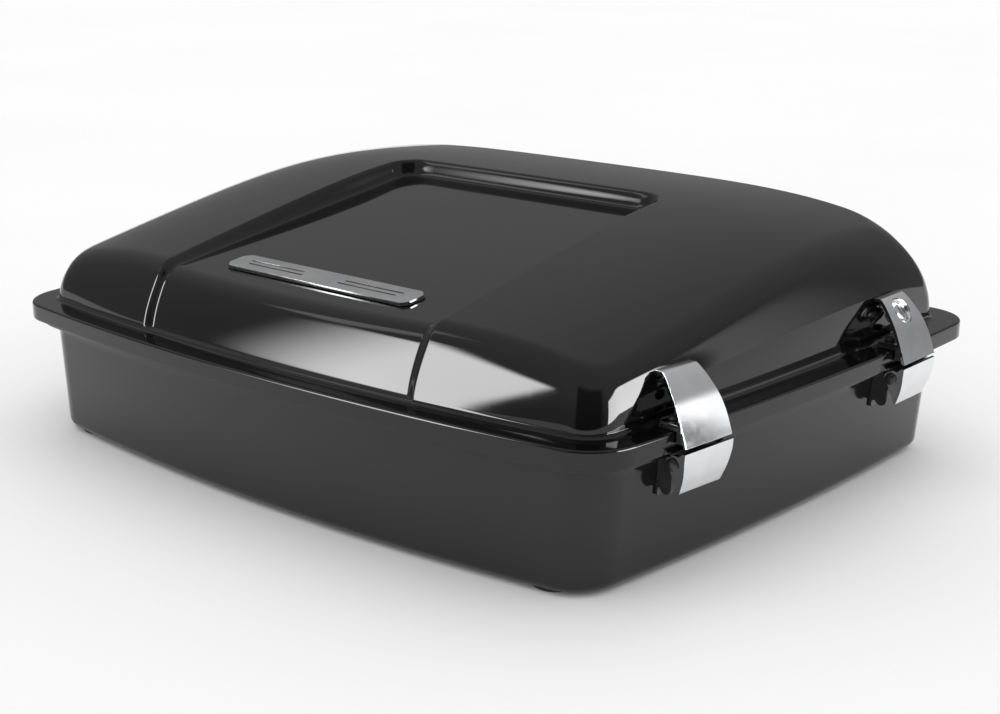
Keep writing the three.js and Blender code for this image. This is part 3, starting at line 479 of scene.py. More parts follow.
def make_materials():
    lid = paint("lid_paint", (0.0025, 0.0025, 0.0027), (0.0035, 0.0035, 0.0037), 0.05, 0.15)
    tub = paint("tub_paint", (0.005, 0.0048, 0.0046), (0.0066, 0.0063, 0.006), 0.12, 0.3)
    inner = new_material("moulded_inner_face", (0.018, 0.018, 0.018), 0.5)
    tint(inner, noise_on(inner, 30.0, 6.0), (0.014, 0.014, 0.014), (0.024, 0.024, 0.024))
    vary(inner, "Roughness", noise_on(inner, 60.0, 4.0), 0.42, 0.6)
    bump(inner, noise_on(inner, 900.0, 4.0), 0.5, 0.12)
    chrome = new_material("polished_chrome", (0.83, 0.84, 0.86), 0.05, metallic=1.0)
    tint(chrome, noise_on(chrome, 60.0), (0.80, 0.81, 0.835), (0.86, 0.865, 0.88))
    vary(chrome, "Roughness", noise_on(chrome, 140.0, 6.0), 0.035, 0.085)
    bump(chrome, noise_on(chrome, 70.0, 2.0), 0.08, 0.03)
    satin = new_material("satin_chrome", (0.6, 0.61, 0.62), 0.2, metallic=1.0)
    tint(satin, noise_on(satin, 25.0, 4.0), (0.55, 0.56, 0.57), (0.68, 0.69, 0.7))
    vary(satin, "Roughness", noise_on(satin, 500.0, 4.0, (0.05, 1, 1)), 0.14, 0.27)
    bump(satin, noise_on(satin, 2600.0, 3.0, (0.03, 1, 1)), 0.25, 0.02)
    groove = new_material("groove_enamel", (0.05, 0.05, 0.052), 0.35, metallic=0.4)
    vary(groove, "Roughness", noise_on(groove, 400.0, 4.0), 0.28, 0.5)
    coated = new_material("black_coated_steel", (0.02, 0.02, 0.02), 0.35, coat=0.3, coat_roughness=0.25)
    tint(coated, noise_on(coated, 120.0, 4.0), (0.013, 0.013, 0.013), (0.026, 0.026, 0.027))
    vary(coated, "Roughness", noise_on(coated, 300.0, 4.0), 0.28, 0.45)
    bump(coated, noise_on(coated, 1500.0, 3.0), 0.4, 0.05)
    steel = new_material("zinc_plated_steel", (0.52, 0.53, 0.54), 0.35, metallic=1.0)
    tint(steel, noise_on(steel, 200.0, 5.0), (0.44, 0.45, 0.46), (0.6, 0.61, 0.62))
    vary(steel, "Roughness", noise_on(steel, 350.0, 5.0), 0.25, 0.45)
    bump(steel, noise_on(steel, 1400.0, 4.0), 0.3, 0.03)
    rubber = new_material("black_rubber", (0.014, 0.014, 0.014), 0.75)
    tint(rubber, noise_on(rubber, 90.0, 5.0), (0.010, 0.010, 0.010), (0.022, 0.022, 0.021))
    vary(rubber, "Roughness", noise_on(rubber, 200.0, 4.0), 0.65, 0.85)
    bump(rubber, noise_on(rubber, 1800.0, 3.0), 0.5, 0.08)
    return {
        "lid": lid, "tub": tub, "inner": inner, "chrome": chrome, "satin": satin, "groove": groove,
        "coated": coated, "steel": steel, "rubber": rubber,
    }


MATERIALS = make_materials()


# ---------- lid ----------
def smooth_step(value):
    value = np.clip(value, 0, 1)
    return value * value * (3 - 2 * value)


def recess_mask(x, y):
    across = np.maximum(np.abs(x) - (RECESS_HALF_WIDTH - RECESS_CORNER), 0)
    along = np.maximum(y - (RECESS_FRONT - RECESS_CORNER), 0)
    outside = np.hypot(across, along) - RECESS_CORNER
    return 1 - smooth_step((outside + RECESS_STEP) / (2 * RECESS_STEP))


def top_height(x, y):
    crown = CROWN_HEIGHT + CROWN_SLOPE * (y - CROWN_Y) - CROWN_FALL * np.hypot(y - CROWN_Y, CROWN_ROUND)
    shoulder = crown - SIDE_FALL * (np.abs(x) / SIDE_REACH) ** 5
    floor = FLOOR_HEIGHT + FLOOR_SLOPE * (y - FLOOR_REAR)
    mask = recess_mask(x, y)
    return shoulder * (1 - mask) + floor * mask


def wall_point(foot, head, share, crease):
    """The lid wall at a share of its rise, on its way to a crease at another share."""
    delta = head - foot
    sideways = delta[:, 0] ** 2 / (delta ** 2).sum(1)
    run = crease ** (1.2 + 0.3 * sideways)
    lean = run * np.maximum(share / crease, 0) ** (1.5 + 1.5 * sideways)
    inward = RECESS_SETBACK * recess_mask(foot[:, 0], FLOOR_REAR) * smooth_step(share * SETBACK_RAMP)
    step = np.where(foot[:, 1] < 0, inward, 0)
    return foot + lean[:, None] * delta + np.column_stack([0 * step, step])


def wall_rings(inset, lowered, wall_shares, crease_steps):
    """Rings from the wall's foot up to the rounded edge of the lid top."""
    foot = LID_GRID.loop(inset_outline(FLANGE_WIDTH + inset))
    run = FLANGE_WIDTH + inset
    head = LID_GRID.loop(
        Outline(run + WALL_RUN_SIDE, run + WALL_RUN_REAR, run + WALL_RUN_FRONT, WALL_HEAD_CORNER))
    low, high = np.full(len(foot), 0.1), np.full(len(foot), 1.4)
    for _ in range(30):
        share = (low + high) / 2
        meet = wall_point(foot, head, share, share)
        above = FLANGE_TOP + WALL_RISE * share > top_height(meet[:, 0], meet[:, 1]) - lowered
        low, high = np.where(above, low, share), np.where(above, share, high)
    end = share - CREASE_ROUND / WALL_RISE
    rings = []
    for part in wall_shares:
        plan = wall_point(foot, head, part * end, share)
        rings.append(np.column_stack([plan, FLANGE_TOP + WALL_RISE * part * end]))
    corner = np.column_stack([wall_point(foot, head, share, share), FLANGE_TOP + WALL_RISE * share])
    inward = (head - foot) / np.linalg.norm(head - foot, axis=1)[:, None]
    edge = corner[:, :2] + CREASE_ROUND * inward
    edge = np.column_stack([edge, top_height(edge[:, 0], edge[:, 1]) - lowered])
    for t in crease_steps:
        rings.append(rings[len(wall_shares) - 1] * (1 - t) ** 2 + 2 * corner * t * (1 - t) + edge * t * t)
    return rings


def make_lid():
    def band(inset, z):
        return at_height(LID_GRID.loop(inset_outline(inset)), z)

    lip = 0.7
    outer = [band(lip - lip * math.sin(a), SKIRT_LOW + lip - lip * math.cos(a)) for a in quarter_turn(3)]
    r = RIM_ROUND
    outer += [band(0, SKIRT_LOW + part) for part in (2.5, 5.5, 8.5)]
    outer += [band(r - r * math.cos(a), FLANGE_TOP - r + r * math.sin(a)) for a in quarter_turn(5)]
    outer += [band(inset, FLANGE_TOP) for inset in (3.5, 7, 11, 14)]
    f = FOOT_FILLET
    foot_inset = FLANGE_WIDTH - f
    outer += [
        band(foot_inset + f * math.sin(a), FLANGE_TOP + f - f * math.cos(a)) for a in quarter_turn(5)[:-1]
    ]
    shares = np.linspace(0.07, 1, 26)
    outer += wall_rings(0.0, 0.0, shares, np.linspace(0, 1, 11)[1:])
    under = wall_rings(WALL, WALL, [0.06, 0.3, 0.6, 0.85, 1], [0.25, 0.5, 0.75, 1])[::-1]
    under += [band(FLANGE_WIDTH + WALL, FLANGE_BOTTOM + 1), band(FLANGE_WIDTH + WALL - 1.5, FLANGE_BOTTOM)]
    under += [band(WALL, FLANGE_BOTTOM), band(WALL - 0.5, FLANGE_BOTTOM - 0.6)]
    under += [band(WALL - 0.5, SKIRT_LOW + 0.5), band(WALL - 1, SKIRT_LOW)]
    rings = under + outer
    ring_material = [1] * len(under) + [0] * len(outer)
    lid = shell(
        "lid", rings, LID_GRID, lambda x, y: top_height(x, y) - WALL, top_height,
        [MATERIALS["lid"], MATERIALS["inner"]], ring_material,
    )
    finish_piece(lid, "lid_shell", "lid")


# ---------- tub ----------
def tub_outline(z, inward=0.0):
    share = z / TUB_TOP
    side = TUB_INSET_X + (TUB_INSET_TOP - TUB_INSET_X) * share + inward
    end = TUB_INSET_Y + (TUB_INSET_TOP - TUB_INSET_Y) * share + inward
    return Outline(side, end, end, TUB_CORNER - 0.5 * inward)


def tub_ring(z, inward=0.0):
    return at_height(TUB_GRID.loop(tub_outline(z, inward)), z)


def make_tub():
    def lip(inset, z):
        return at_height(TUB_GRID.loop(Outline(inset, inset, inset, LIP_CORNER)), z)

    r = TUB_EDGE_RADIUS
    rings = [tub_ring(r - r * math.cos(a), r - r * math.sin(a)) for a in quarter_turn(8)]
    rings += [tub_ring(z) for z in np.linspace(r + 6, LIP_LOW - 1.2, 10)]
    near = TUB_INSET_TOP - 1.0
    rings += [lip(near + 0.4, LIP_LOW - 0.3), lip(near - 0.6, LIP_LOW)]
    eased = ((0.7, 0), (0.2, 0.2), (0, 0.7))
    rings += [lip(LIP_INSET + inset, LIP_LOW + rise) for inset, rise in eased]
    rings += [lip(LIP_INSET + inset, LIP_HIGH - rise) for inset, rise in eased[::-1]]
    rings += [lip(near, LIP_HIGH), tub_ring(LIP_HIGH + 0.8)]
    rings += [tub_ring(TUB_TOP - 0.6), tub_ring(TUB_TOP, 0.6), tub_ring(TUB_TOP, WALL - 0.6)]
    outer_count = len(rings)
    rings += [tub_ring(TUB_TOP - 0.6, WALL)]
    rings += [tub_ring(z, WALL) for z in (80, 60, 40, 20)]
    inside = TUB_EDGE_RADIUS + 2 - WALL
    rings += [
        tub_ring(WALL + inside - inside * math.sin(a), WALL + inside - inside * math.cos(a))
        for a in quarter_turn(6)
    ]
    ring_material = [0] * outer_count + [1] * (len(rings) - outer_count)
    tub = shell(
        "tub", rings, TUB_GRID, lambda x, y: 0 * x, lambda x, y: 0 * x + WALL,
        [MATERIALS["tub"], MATERIALS["inner"]], ring_material,
    )
    finish_piece(tub, "tub_shell", "tub")


def make_gasket():
    """A rubber bulb seal on the tub's top edge, under the lid flange."""
    low, high = TUB_TOP + GAP, FLANGE_BOTTOM - GAP
    middle, half = (low + high) / 2, (high - low) / 2
    wide = (WALL - 0.8) / 2
    rings = []
    for i in range(16):
        a = -2 * math.pi * i / 16
        inward = WALL / 2 + wide * math.copysign(abs(math.cos(a)) ** 0.7, math.cos(a))
        height = middle + half * math.copysign(abs(math.sin(a)) ** 0.7, math.sin(a))
        rings.append(at_height(TUB_GRID.loop(tub_outline(TUB_TOP, inward)), height))
    seal = shell("gasket_seal", rings, TUB_GRID, None, None, [MATERIALS["rubber"]], [0] * 16)
    finish_piece(seal, "lid_gasket", "tub")


# ---------- turned and extruded pieces ----------
def turned(name, profile, material, matrix, sides=48, keyed=None):
    """A piece turned about z from [radius, z] points; a keyed radius is made hexagonal."""
    points, faces = [], []
    rings = []
    for k, (radius, z) in enumerate(profile):
        if radius < 1e-6:
            rings.append([len(points)] * sides)
            points.append((0, 0, z))
            continue
        rings.append(list(range(len(points), len(points) + sides)))
        for i in range(sides):
            a = 2 * math.pi * i / sides
            reach = radius
            if keyed and k in keyed:
                reach = radius * math.cos(math.pi / 6) / math.cos((a % (math.pi / 3)) - math.pi / 6)
            points.append((reach * math.cos(a), reach * math.sin(a), z))
    for lower, upper in zip(rings, rings[1:]):
        for i in range(sides):
            j = (i + 1) % sides
            face = [lower[i], lower[j], upper[j], upper[i]]
            face = [v for n, v in enumerate(face) if v not in face[:n]]
            if len(face) > 2:
                faces.append(face)
    return add_mesh(name, points, faces, material, matrix)


def prism_faces(n):
    """Faces of a prism whose n points of one end come before those of the other."""
    faces = [list(range(n)), list(range(2 * n - 1, n - 1, -1))]
    faces += [[(i + 1) % n, i, n + i, n + (i + 1) % n] for i in range(n)]
    return faces


def extruded(name, profile, width, material, matrix, share_at=None):
    """A side profile of (x, z) points given a width along y, narrowed by a share at each height."""
    n = len(profile)
    area = sum(
        profile[i - 1][0] * profile[i][1] - profile[i][0] * profile[i - 1][1] for i in range(n))
    if area < 0:
        profile = profile[::-1]
    share_at = share_at or (lambda z: 1.0)
    points = [(x, y * share_at(z), z) for y in (-width / 2, width / 2) for x, z in profile]
    return add_mesh(name, points, prism_faces(n), material, matrix)


def spline(points, steps):
    """Points on a smooth curve through the given ones."""
    before, after = 2 * np.array(points[0]) - points[1], 2 * np.array(points[-1]) - points[-2]
    p = np.array([before, *points, after], float)
    result = []
    for i in range(1, len(p) - 2):
        for t in np.linspace(0, 1, steps, endpoint=False):
            a, b, c, d = p[i - 1], p[i], p[i + 1], p[i + 2]
            square = (2 * a - 5 * b + 4 * c - d) * t ** 2
            cube = (3 * b - a - 3 * c + d) * t ** 3
            result.append(tuple(0.5 * (2 * b + (c - a) * t + square + cube)))
    result.append(tuple(p[-2]))
    return result


def offset_curve(points, distance):
    """The curve moved sideways, to its right as it runs."""
    p = np.array(points)
    tangent = np.gradient(p, axis=0)
    tangent /= np.linalg.norm(tangent, axis=1)[:, None]
    return [tuple(q) for q in p + distance * np.column_stack([tangent[:, 1], -tangent[:, 0]])]


# ---------- stations ----------
def station(side, y, angle):
    place = Matrix.Translation((side * float(RIM.side_x(y)), y, 0))
    return place @ Matrix.Rotation(angle, 4, "Z")


def wall_x(y, z):
    return float(tub_outline(z).side_x(y) - RIM.side_x(y))


WALL_LEAN = math.atan((TUB_INSET_X - TUB_INSET_TOP) / TUB_TOP)
TURN_Y_TO_Z = Matrix.Rotation(math.pi / 2, 4, "X")


def socket_screw(name, node, length, material, body, matrix):
    """A button-head screw along z with a hexagonal socket, its head resting on z = 0."""
    profile = [
        (0, -length), (1.6, -length), (2, -length + 0.5), (2, -0.1), (2.2, 0), (3.8, 0), (4, 0.2),
        (3.95, 0.9), (3.6, 1.6), (3.0, 2.1), (2.3, 2.38), (1.75, 2.4), (1.6, 2.3), (1.55, 0.9), (0, 0.8),
    ]
    obj = turned(name, profile, MATERIALS[material], matrix, sides=48, keyed=(12, 13))
    return finish_piece(obj, node, body)


def wall_screws(place, y, prefix, offsets, out, length):
    for hand, offset in offsets.items():
        spot = Matrix.Translation((wall_x(y, WALL_SCREW_Z), offset, WALL_SCREW_Z))
        spot = spot @ Matrix.Rotation(WALL_LEAN, 4, "Y")
        spot = place @ spot @ Matrix.Rotation(math.pi / 2, 4, "Y") @ Matrix.Translation((0, 0, out))
        name = f"{prefix}_{hand}"
        socket_screw(name + "_bolt", name, length, "steel", "tub", spot)


def backing_plate(place, y, node, spacing, stand):
    spot = place @ Matrix.Translation((wall_x(y, WALL_SCREW_Z), 0, WALL_SCREW_Z))
    spot = spot @ Matrix.Rotation(WALL_LEAN, 4, "Y")
    inside = -WALL - stand
    profile = [(inside, -7), (inside, 7), (inside - 2, 7), (inside - 2, -7)]
    plate = extruded(node + "_metal", profile, spacing + 16, MATERIALS["steel"], spot)
    finish_piece(bevel(plate, 0.5), node, "tub")


# ---------- latches ----------
def arc(x, z, radius, start, end, steps):
    turns = [start + (end - start) * i / steps for i in range(steps + 1)]
    return [(x + radius * math.cos(turn), z + radius * math.sin(turn)) for turn in turns]


def cover_share(z):
    return 1 - COVER_TAPER * min(1, max(0, (z - COVER_TAPER_Z) / COVER_TAPER_RISE)) ** 1.8


def lever_share(z):
    return 1 - LEVER_TAPER * min(1, max(0, (LEVER_TAPER_Z - z) / LEVER_TAPER_FALL))


def cover_profile(lip_end, foot):
    outer = spline([
        (-15.3, 138.2), (-11.2, 134.2), (-6.4, 128.3), (-1, 120.7), (3.5, 111.5), (7.1, 102.2),
        (9.25, 95.5),
    ], 5)
    inner = offset_curve(outer, LATCH_SHEET)[::-1]
    below = [p for p in inner if 97 < p[1] < foot - 0.6]
    above = [p for p in inner if foot + 2.6 < p[1]]
    top = [(lip_end, 138.9), (-17.2, 138.9), (-16.3, 138.7)]
    hook = [(7.15, 95.7)] + below
    shelf = [(2.75, foot), (-13, foot), (-13, foot + 2), (1.95, foot + 2)]
    return top + outer + hook + shelf + above + [(-17.4, 136.8), (lip_end, 136.7)]


def make_cover(place, end, locked):
    profile = cover_profile(COVER_LIP[end], KEEPER_TOP + GAP)
    cover = extruded(f"{end}_cover", profile, COVER_WIDTH, MATERIALS["chrome"], place, cover_share)
    if locked:
        outline = [(0, -15), (LOCK_RADIUS, -15), (LOCK_RADIUS, 15), (0, 15)]
        bore = turned("bore", outline, MATERIALS["chrome"], place @ lock_axis(), sides=64)
        combine(cover, bore, "DIFFERENCE")
    finish_piece(bevel(cover, 0.55, 3, 40), f"{end}_latch_cover", "lid")


def apply_modifiers(obj):
    graph = bpy.context.evaluated_depsgraph_get()
    mesh = bpy.data.meshes.new_from_object(obj.evaluated_get(graph))
    obj.modifiers.clear()
    obj.data = mesh


def combine(obj, tool, operation, material_mode="INDEX"):
    """Cuts a tool from a piece, or joins it on, and removes the tool."""
    modifier = obj.modifiers.new("combine", "BOOLEAN")
    modifier.operation = operation
    modifier.object = tool
    modifier.solver = "EXACT"
    modifier.material_mode = material_mode
    apply_modifiers(obj)
    bpy.data.objects.remove(tool)


def lock_axis():
    spot = Matrix.Translation((LOCK_X, 0, LOCK_Z))
    return spot @ Matrix.Rotation(math.pi / 2 - LOCK_TILT, 4, "Y")


def cheek_plate(profile, side, place):
    """A side plate of the lever, following the taper of its face."""
    outer = LATCH_WIDTH / 2 - 0.2
    ends = (side * (outer - CHEEK_SHEET), side * outer)
    points = [(x, reach * lever_share(z), z) for reach in ends for x, z in profile]
    faces = prism_faces(len(profile))
    if side > 0:
        faces = [face[::-1] for face in faces]
    return add_mesh("cheek", points, faces, MATERIALS["chrome"], place)


def make_lever(place, end):
    outer = spline([(9.5, 92.5), (8.7, 83.8), (6.6, 74.3), (2.9, 64.7)], 8)
    inner = offset_curve(outer, LATCH_SHEET)[::-1]
    skin_profile = outer + [(2.2, 63.9), (1.4, 63.8)] + inner
    hub = arc(PIVOT_X, PIVOT_Z, 5.2, 1.3 * math.pi, 0.75 * math.pi, 12)
    notch = [(0.6, 90.2), (4.3, 89.5), (7.1, 92.3)]
    cheek_profile = [(x - 0.6, z) for x, z in outer] + [(0.9, 64.6)] + hub + notch
    lever = extruded(f"{end}_lever", skin_profile, LATCH_WIDTH, MATERIALS["chrome"], place, lever_share)
    for side in (-1, 1):
        combine(lever, cheek_plate(cheek_profile, side, place), "UNION")
    finish_piece(bevel(lever, 0.45, 3, 40), f"{end}_latch_lever", f"{end}_lever")


def make_bracket(place, y, end):
    width = LATCH_WIDTH - 2 * BRACKET_INSET
    low, high = BRACKET_LOW, LIP_LOW - 0.5
    back_low, back_high = wall_x(y, low) + GAP, wall_x(y, high) + GAP
    back = [(back_low, low), (back_low + SHEET, low), (back_high + SHEET, high), (back_high, high)]
    arm = [(back_high + 0.2, high), (back_low + 0.2, low + 4)]
    arm += arc(-10, low + 7, 4.8, 1.1 * math.pi, 2 * math.pi, 12)
    arm += [(-5.2, 72)] + arc(PIVOT_X, PIVOT_Z, 4.8, 1.35 * math.pi, 2.8 * math.pi, 20) + [(-7, high)]
    bracket = extruded(f"{end}_bracket", back, width, MATERIALS["coated"], place)
    for side in (-1, 1):
        shift = Matrix.Translation((0, side * (width / 2 - BRACKET_ARM / 2), 0))
        combine(bracket, extruded("arm", arm, BRACKET_ARM, MATERIALS["coated"], place @ shift), "UNION")
    finish_piece(bevel(bracket, 0.35, 2, 40), f"{end}_latch_bracket", "tub")


def make_latch(end):
    y = LATCH_Y[end]
    slope = float(RIM.side_x(y + 10) - RIM.side_x(y - 10)) / 20
    place = station(1, y, math.atan2(-slope, 1))
    make_cover(place, end, end == "front")
    make_lever(place, end)
    make_bracket(place, y, end)
    keeper = extruded(f"{end}_keeper", [
        (0.6, 97.6), (6, 97.6), (4.6, 101.5), (2.4, KEEPER_TOP), (-14, KEEPER_TOP), (-14, FLANGE_TOP + GAP),
        (0.6, FLANGE_TOP + GAP),
    ], COVER_WIDTH - 0.8, MATERIALS["coated"], place)
    finish_piece(bevel(keeper, 0.5, 3), f"{end}_latch_keeper", "lid")
    half = LATCH_WIDTH / 2 + GAP
    dome = [(0, 2), (1.4, 1.9), (2.6, 1.65), (3.6, 1.15), (4.2, 0.6), (4.4, 0.15), (4.35, 0), (2, 0)]
    pin_profile = [(r, -half - z) for r, z in dome] + [(r, half + z) for r, z in dome[::-1]]
    pivot = Matrix.Translation((PIVOT_X, 0, PIVOT_Z)) @ TURN_Y_TO_Z
    pin = turned(f"{end}_pivot", pin_profile, MATERIALS["coated"], place @ pivot)
    finish_piece(pin, f"{end}_latch_pivot_pin", "tub")
    hands = {"rear": -LATCH_SCREW_Y, "front": LATCH_SCREW_Y}
    wall_screws(place, y, f"{end}_latch_bracket_screw", hands, 2 * GAP + SHEET + SCREW_AIR, 12)
    head = KEEPER_TOP + 2 * GAP + 2
    for hand, offset in (("rear", -KEEPER_SCREW_Y), ("front", KEEPER_SCREW_Y)):
        node = f"{end}_latch_keeper_screw_{hand}"
        spot = place @ Matrix.Translation((KEEPER_SCREW_X, offset, head))
        length = head - FLANGE_BOTTOM - SCREW_AIR
        socket_screw(node + "_bolt", node, length, "coated", "lid", spot)
    backing_plate(place, y, f"{end}_latch_backing_plate", 2 * LATCH_SCREW_Y, LATCH_PLATE_STAND)
    if end == "front":
        make_lock(place @ lock_axis())


def make_lock(place):
    rim = LOCK_RADIUS - GAP
    cup = turned("lock_dish", [
        (6.6, -6), (rim - 0.5, -6), (rim, -5.5), (rim, -0.9), (rim - 0.2, -0.6), (rim - 0.6, -0.55),
        (rim - 0.95, -0.8), (rim - 1.4, -3.4), (rim - 1.9, -4.2), (7.6, -4.4), (6.9, -4.4), (6.6, -4.6),
        (6.6, -6),
    ], MATERIALS["chrome"], place, sides=64)
    finish_piece(cup, "lock_cup", "lid")
    barrel = turned("lock_plug", [
        (0, -13), (3, -13), (3, -10), (6.2, -10), (6.2, -2.4), (6.05, -1.95), (5.6, -1.65), (0, -1.6),
    ], MATERIALS["satin"], place, sides=64)
    opening = [(-3.6, -4.5), (3.6, -4.5), (3.6, 0), (-3.6, 0)]
    combine(barrel, extruded("key_slot", opening, 1.2, MATERIALS["satin"], place), "DIFFERENCE")
    finish_piece(bevel(barrel, 0.15, 2, 40), "lock_barrel", "lock")


# ---------- hinges ----------
def dress_node(name, material, width):
    """A CAD node that keeps its own shape gets its finish and eased edges."""
    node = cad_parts[name]
    node.data.materials.clear()
    node.data.materials.append(MATERIALS[material])
    bevel(node, width, 2, 40)


def make_hinge(end):
    y = HINGE_Y[end]
    rear_x, front_x = float(RIM.side_x(HINGE_Y["rear"])), float(RIM.side_x(HINGE_Y["front"]))
    slope = (front_x - rear_x) / (HINGE_Y["front"] - HINGE_Y["rear"])
    place = station(-1, y, math.atan2(-slope, -1))
    for leaf in ("tub_leaf", "lid_leaf"):
        dress_node(f"{end}_hinge_{leaf}", "coated", 0.3)
    half = HINGE_WIDTH / 2 + HINGE_ROD_END
    head = [(0, 1.2), (1.2, 1.15), (2.2, 0.9), (2.7, 0.4), (2.8, 0), (1.6, 0)]
    profile = [(r, -half - z) for r, z in head] + [(r, half + z) for r, z in head[::-1]]
    axis = Matrix.Translation((HINGE_OUT, 0, HINGE_Z)) @ TURN_Y_TO_Z
    pin = turned(f"{end}_hinge_rod", profile, MATERIALS["steel"], place @ axis)
    finish_piece(pin, f"{end}_hinge_pin", "tub")
    hands = {"front": -HINGE_SCREW_Y, "rear": HINGE_SCREW_Y}
    wall_screws(place, y, f"{end}_hinge_tub_screw", hands, LEAF_GAP + SHEET + GAP + SCREW_AIR, 13)
    top = FLANGE_TOP + LEAF_LIFT + SHEET + GAP
    for hand, offset in hands.items():
        node = f"{end}_hinge_lid_screw_{hand}"
        spot = place @ Matrix.Translation((HINGE_LID_SCREW_X, offset, top))
        length = top - FLANGE_BOTTOM - SCREW_AIR
        socket_screw(node + "_bolt", node, length, "steel", "lid", spot)
    backing_plate(place, y, f"{end}_hinge_backing_plate", 2 * HINGE_SCREW_Y, HINGE_PLATE_STAND)


# ---------- badge and pads ----------
def chamfered_bar(length, width, cut):
    """A plan outline with its corners cut off and eased."""
    x, y = length / 2, width / 2
    near, mid, far = 0.25 * cut, 0.75 * cut, 1.15 * cut
    points = []
    for sx, sy, order in ((1, -1, 1), (1, 1, -1), (-1, 1, 1), (-1, -1, -1)):
        corner = [(x - far, y), (x - mid, y - near), (x - near, y - mid), (x, y - far)]
        corner = [(sx * px, sy * py) for px, py in corner]
        points += corner[::-1] if sx * sy > 0 else corner
    return points


def slab(name, outline, low, high, material, matrix):
    """A flat piece between two heights from a plan outline."""
    points = [(x, y, z) for z in (low, high) for x, y in outline]
    faces = [face[::-1] for face in prism_faces(len(outline))]
    return add_mesh(name, points, faces, material, matrix)


def make_badge():
    spot = Matrix.Translation((0, BADGE_Y, FLOOR_HEIGHT + FLOOR_SLOPE * (BADGE_Y - FLOOR_REAR)))
    spot = spot @ Matrix.Rotation(math.atan(FLOOR_SLOPE), 4, "X")
    margin = 2 * BADGE_FOAM_MARGIN
    foam = chamfered_bar(BADGE_LENGTH + margin, BADGE_WIDTH + margin, BADGE_CORNER)
    under = slab("badge_foam", foam, GAP, GAP + BADGE_FOAM, MATERIALS["rubber"], spot)
    finish_piece(bevel(under, 0.2, 2), "badge_backing_pad", "lid")
    low = 2 * GAP + BADGE_FOAM
    plate = slab("badge_bar", chamfered_bar(BADGE_LENGTH, BADGE_WIDTH, BADGE_CORNER), low,
                 low + BADGE_THICKNESS, [MATERIALS["satin"], MATERIALS["groove"]], spot)
    for side in (-1, 1):
        for line in (-1, 1):
            middle = side * (GROOVE_START[line] + GROOVE_LENGTH / 2)
            tool = slab("groove", chamfered_bar(GROOVE_LENGTH, GROOVE_WIDTH, GROOVE_CORNER),
                        low + BADGE_THICKNESS - GROOVE_DEPTH, low + 3, MATERIALS["groove"],
                        spot @ Matrix.Translation((middle, line * GROOVE_Y, 0)))
            combine(plate, tool, "DIFFERENCE", "TRANSFER")
    finish_piece(bevel(plate, 0.35, 3, 40), "badge_plate", "lid")


def make_pads():
    for end, y, reach in PAD_PLACES:
        for hand, side in (("left", -1), ("centre", 0), ("right", 1)):
            profile = [
                (0, -2.1), (3, -2.1), (4, -2.5), (14.6, -2.5), (15.5, -2.2), (16, -1.5), (16, -0.7),
                (15.7, -0.35), (0, -0.3),
            ]
            spot = Matrix.Translation((side * reach, y, 0))
            node = f"{end}_{hand}_pad"
            pad = turned(node + "_rubber", profile, MATERIALS["rubber"], spot, sides=64)
            finish_piece(pad, node, "tub")


# ---------- studio ----------
def make_camera():
    azimuth, elevation = math.radians(CAMERA_AZIMUTH), math.radians(CAMERA_ELEVATION)
    back = Vector((math.sin(azimuth) * math.cos(elevation), -math.cos(azimuth) * math.cos(elevation),
                   math.sin(elevation)))
    right = Vector((math.cos(azimuth), math.sin(azimuth), 0))
    up = back.cross(right)
    place = CAMERA_AIM_RIGHT * right + CAMERA_AIM_UP * up + CAMERA_DISTANCE * back
    data = bpy.data.cameras.new("camera")
    data.lens = CAMERA_LENS
    camera = bpy.data.objects.new("camera", data)
    camera.location = to_frame @ place
    camera.rotation_mode = "QUATERNION"
    camera.rotation_quaternion = (-back).to_track_quat("-Z", "Y")
    bpy.context.scene.collection.objects.link(camera)
    bpy.context.scene.camera = camera


def math_node(tree, operation, *values):
    node = tree.nodes.new("ShaderNodeMath")
    node.operation = operation
    for socket, value in zip(node.inputs, values):
        if isinstance(value, (int, float)):
            socket.default_value = value
        else:
            tree.links.new(value, socket)
    return node.outputs[0]


def ramp(tree, value, start, end, low=0.0, high=1.0):
    """A smooth change from low to high while the value goes from start to end."""
    node = tree.nodes.new("ShaderNodeMapRange")
    node.interpolation_type = "SMOOTHSTEP"
    rising = end > start
    settings = (start, end, low, high) if rising else (end, start, high, low)
    for name, setting in zip(("From Min", "From Max", "To Min", "To Max"), settings):
        node.inputs[name].default_value = setting
    tree.links.new(value, node.inputs["Value"])
    return node.outputs[0]


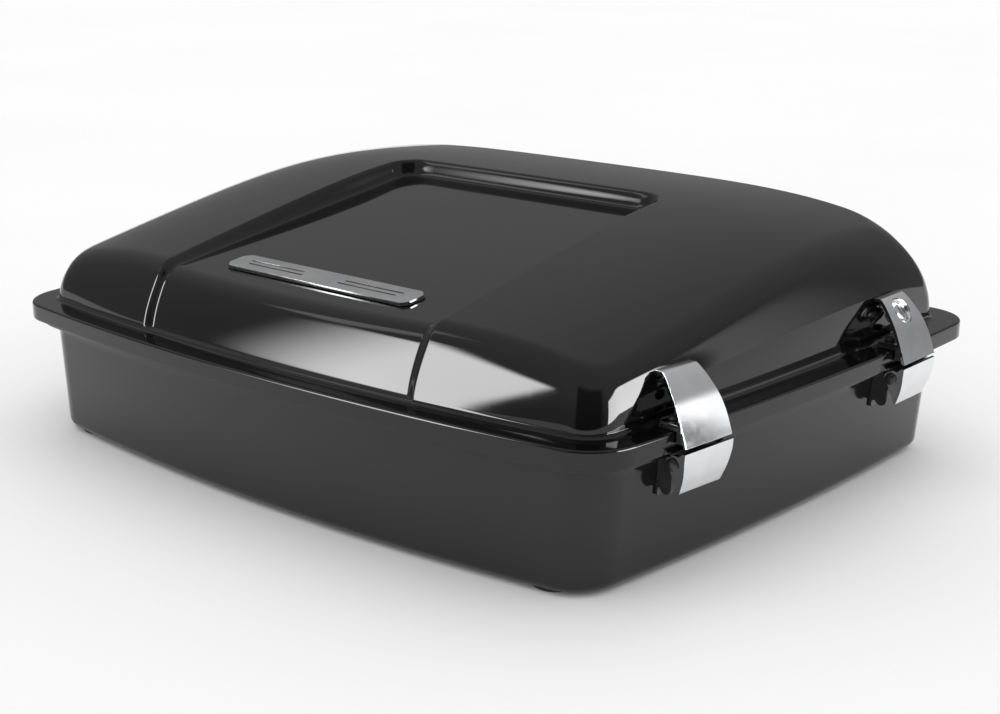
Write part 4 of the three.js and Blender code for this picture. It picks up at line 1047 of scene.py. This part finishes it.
def make_world():
    """A plain studio: a grey room, a dark side behind the camera and two large softboxes.

    Angles are in degrees: azimuth from the rear of the trunk towards its latch side, then height.
    """
    world = bpy.data.worlds.new("studio")
    bpy.context.scene.world = world
    world.use_nodes = True
    tree = world.node_tree
    direction = tree.nodes.new("ShaderNodeTexCoord").outputs["Generated"]
    parts = tree.nodes.new("ShaderNodeSeparateXYZ")
    tree.links.new(direction, parts.inputs[0])
    x, y, z = parts.outputs
    azimuth = math_node(tree, "DEGREES", math_node(tree, "ARCTAN2", x, math_node(tree, "MULTIPLY", y, -1)))
    height = math_node(tree, "DEGREES", math_node(tree, "ARCSINE", z))
    level = ramp(tree, height, 5, 50, 0.26, 0.47)

    def patch(strength, *edges):
        """Adds light inside the given edges, each one (value, dark end, bright end)."""
        value = strength
        for edge in edges:
            value = math_node(tree, "MULTIPLY", value, ramp(tree, *edge))
        return math_node(tree, "ADD", level, value)

    dark = math_node(tree, "MULTIPLY", ramp(tree, azimuth, -6, 6), ramp(tree, azimuth, 84, 64))
    dark = math_node(tree, "MULTIPLY", dark, ramp(tree, height, 66, 50, 0.0, 0.85))
    level = math_node(tree, "MULTIPLY", level, math_node(tree, "SUBTRACT", 1.0, dark))
    level = patch(13.0, (azimuth, -52, -37), (azimuth, -28, -30), (height, 34, 31))
    level = patch(1.3, (azimuth, -64, -60), (azimuth, -50, -54), (height, 32, 36), (height, 52, 46))
    level = patch(14.0, (azimuth, 89.5, 91.5), (azimuth, 130, 126), (height, 32, 29))
    level = patch(1.0, (azimuth, 131, 133), (azimuth, 150, 131), (height, 30, 20))

    path = tree.nodes.new("ShaderNodeLightPath")
    keep = math_node(tree, "SUBTRACT", 1.0, path.outputs["Is Glossy Ray"])
    strength = math_node(tree, "ADD", math_node(tree, "MULTIPLY", level, path.outputs["Is Glossy Ray"]),
                         math_node(tree, "MULTIPLY", keep, ROOM_LIGHT))
    background = tree.nodes["Background"]
    background.inputs["Color"].default_value = (1, 1, 1, 1)
    tree.links.new(strength, background.inputs["Strength"])


def make_floor():
    turns = [2 * math.pi * i / FLOOR_SIDES for i in range(FLOOR_SIDES)]
    points = [(FLOOR_RADIUS * math.cos(turn), FLOOR_RADIUS * math.sin(turn), 0) for turn in turns]
    mesh = bpy.data.meshes.new("floor")
    mesh.from_pydata(points, [], [list(range(FLOOR_SIDES))])
    floor = bpy.data.objects.new("floor", mesh)
    material = new_material("pale_floor", (0.93, 0.93, 0.93), 0.9)
    material.node_tree.nodes["Principled BSDF"].inputs["Specular IOR Level"].default_value = 0.1
    tint(material, noise_on(material, 1.5), (0.925, 0.925, 0.925), (0.94, 0.94, 0.94))
    mesh.materials.append(material)
    bpy.context.scene.collection.objects.link(floor)


def make_studio():
    make_camera()
    make_world()
    make_floor()
    bpy.context.scene.view_settings.view_transform = "Standard"


make_lid()
make_tub()
make_gasket()
for hinge_end in ("rear", "front"):
    make_latch(hinge_end)
    make_hinge(hinge_end)
make_badge()
make_pads()
dress_node("lock_cam", "steel", 0.2)
make_studio()
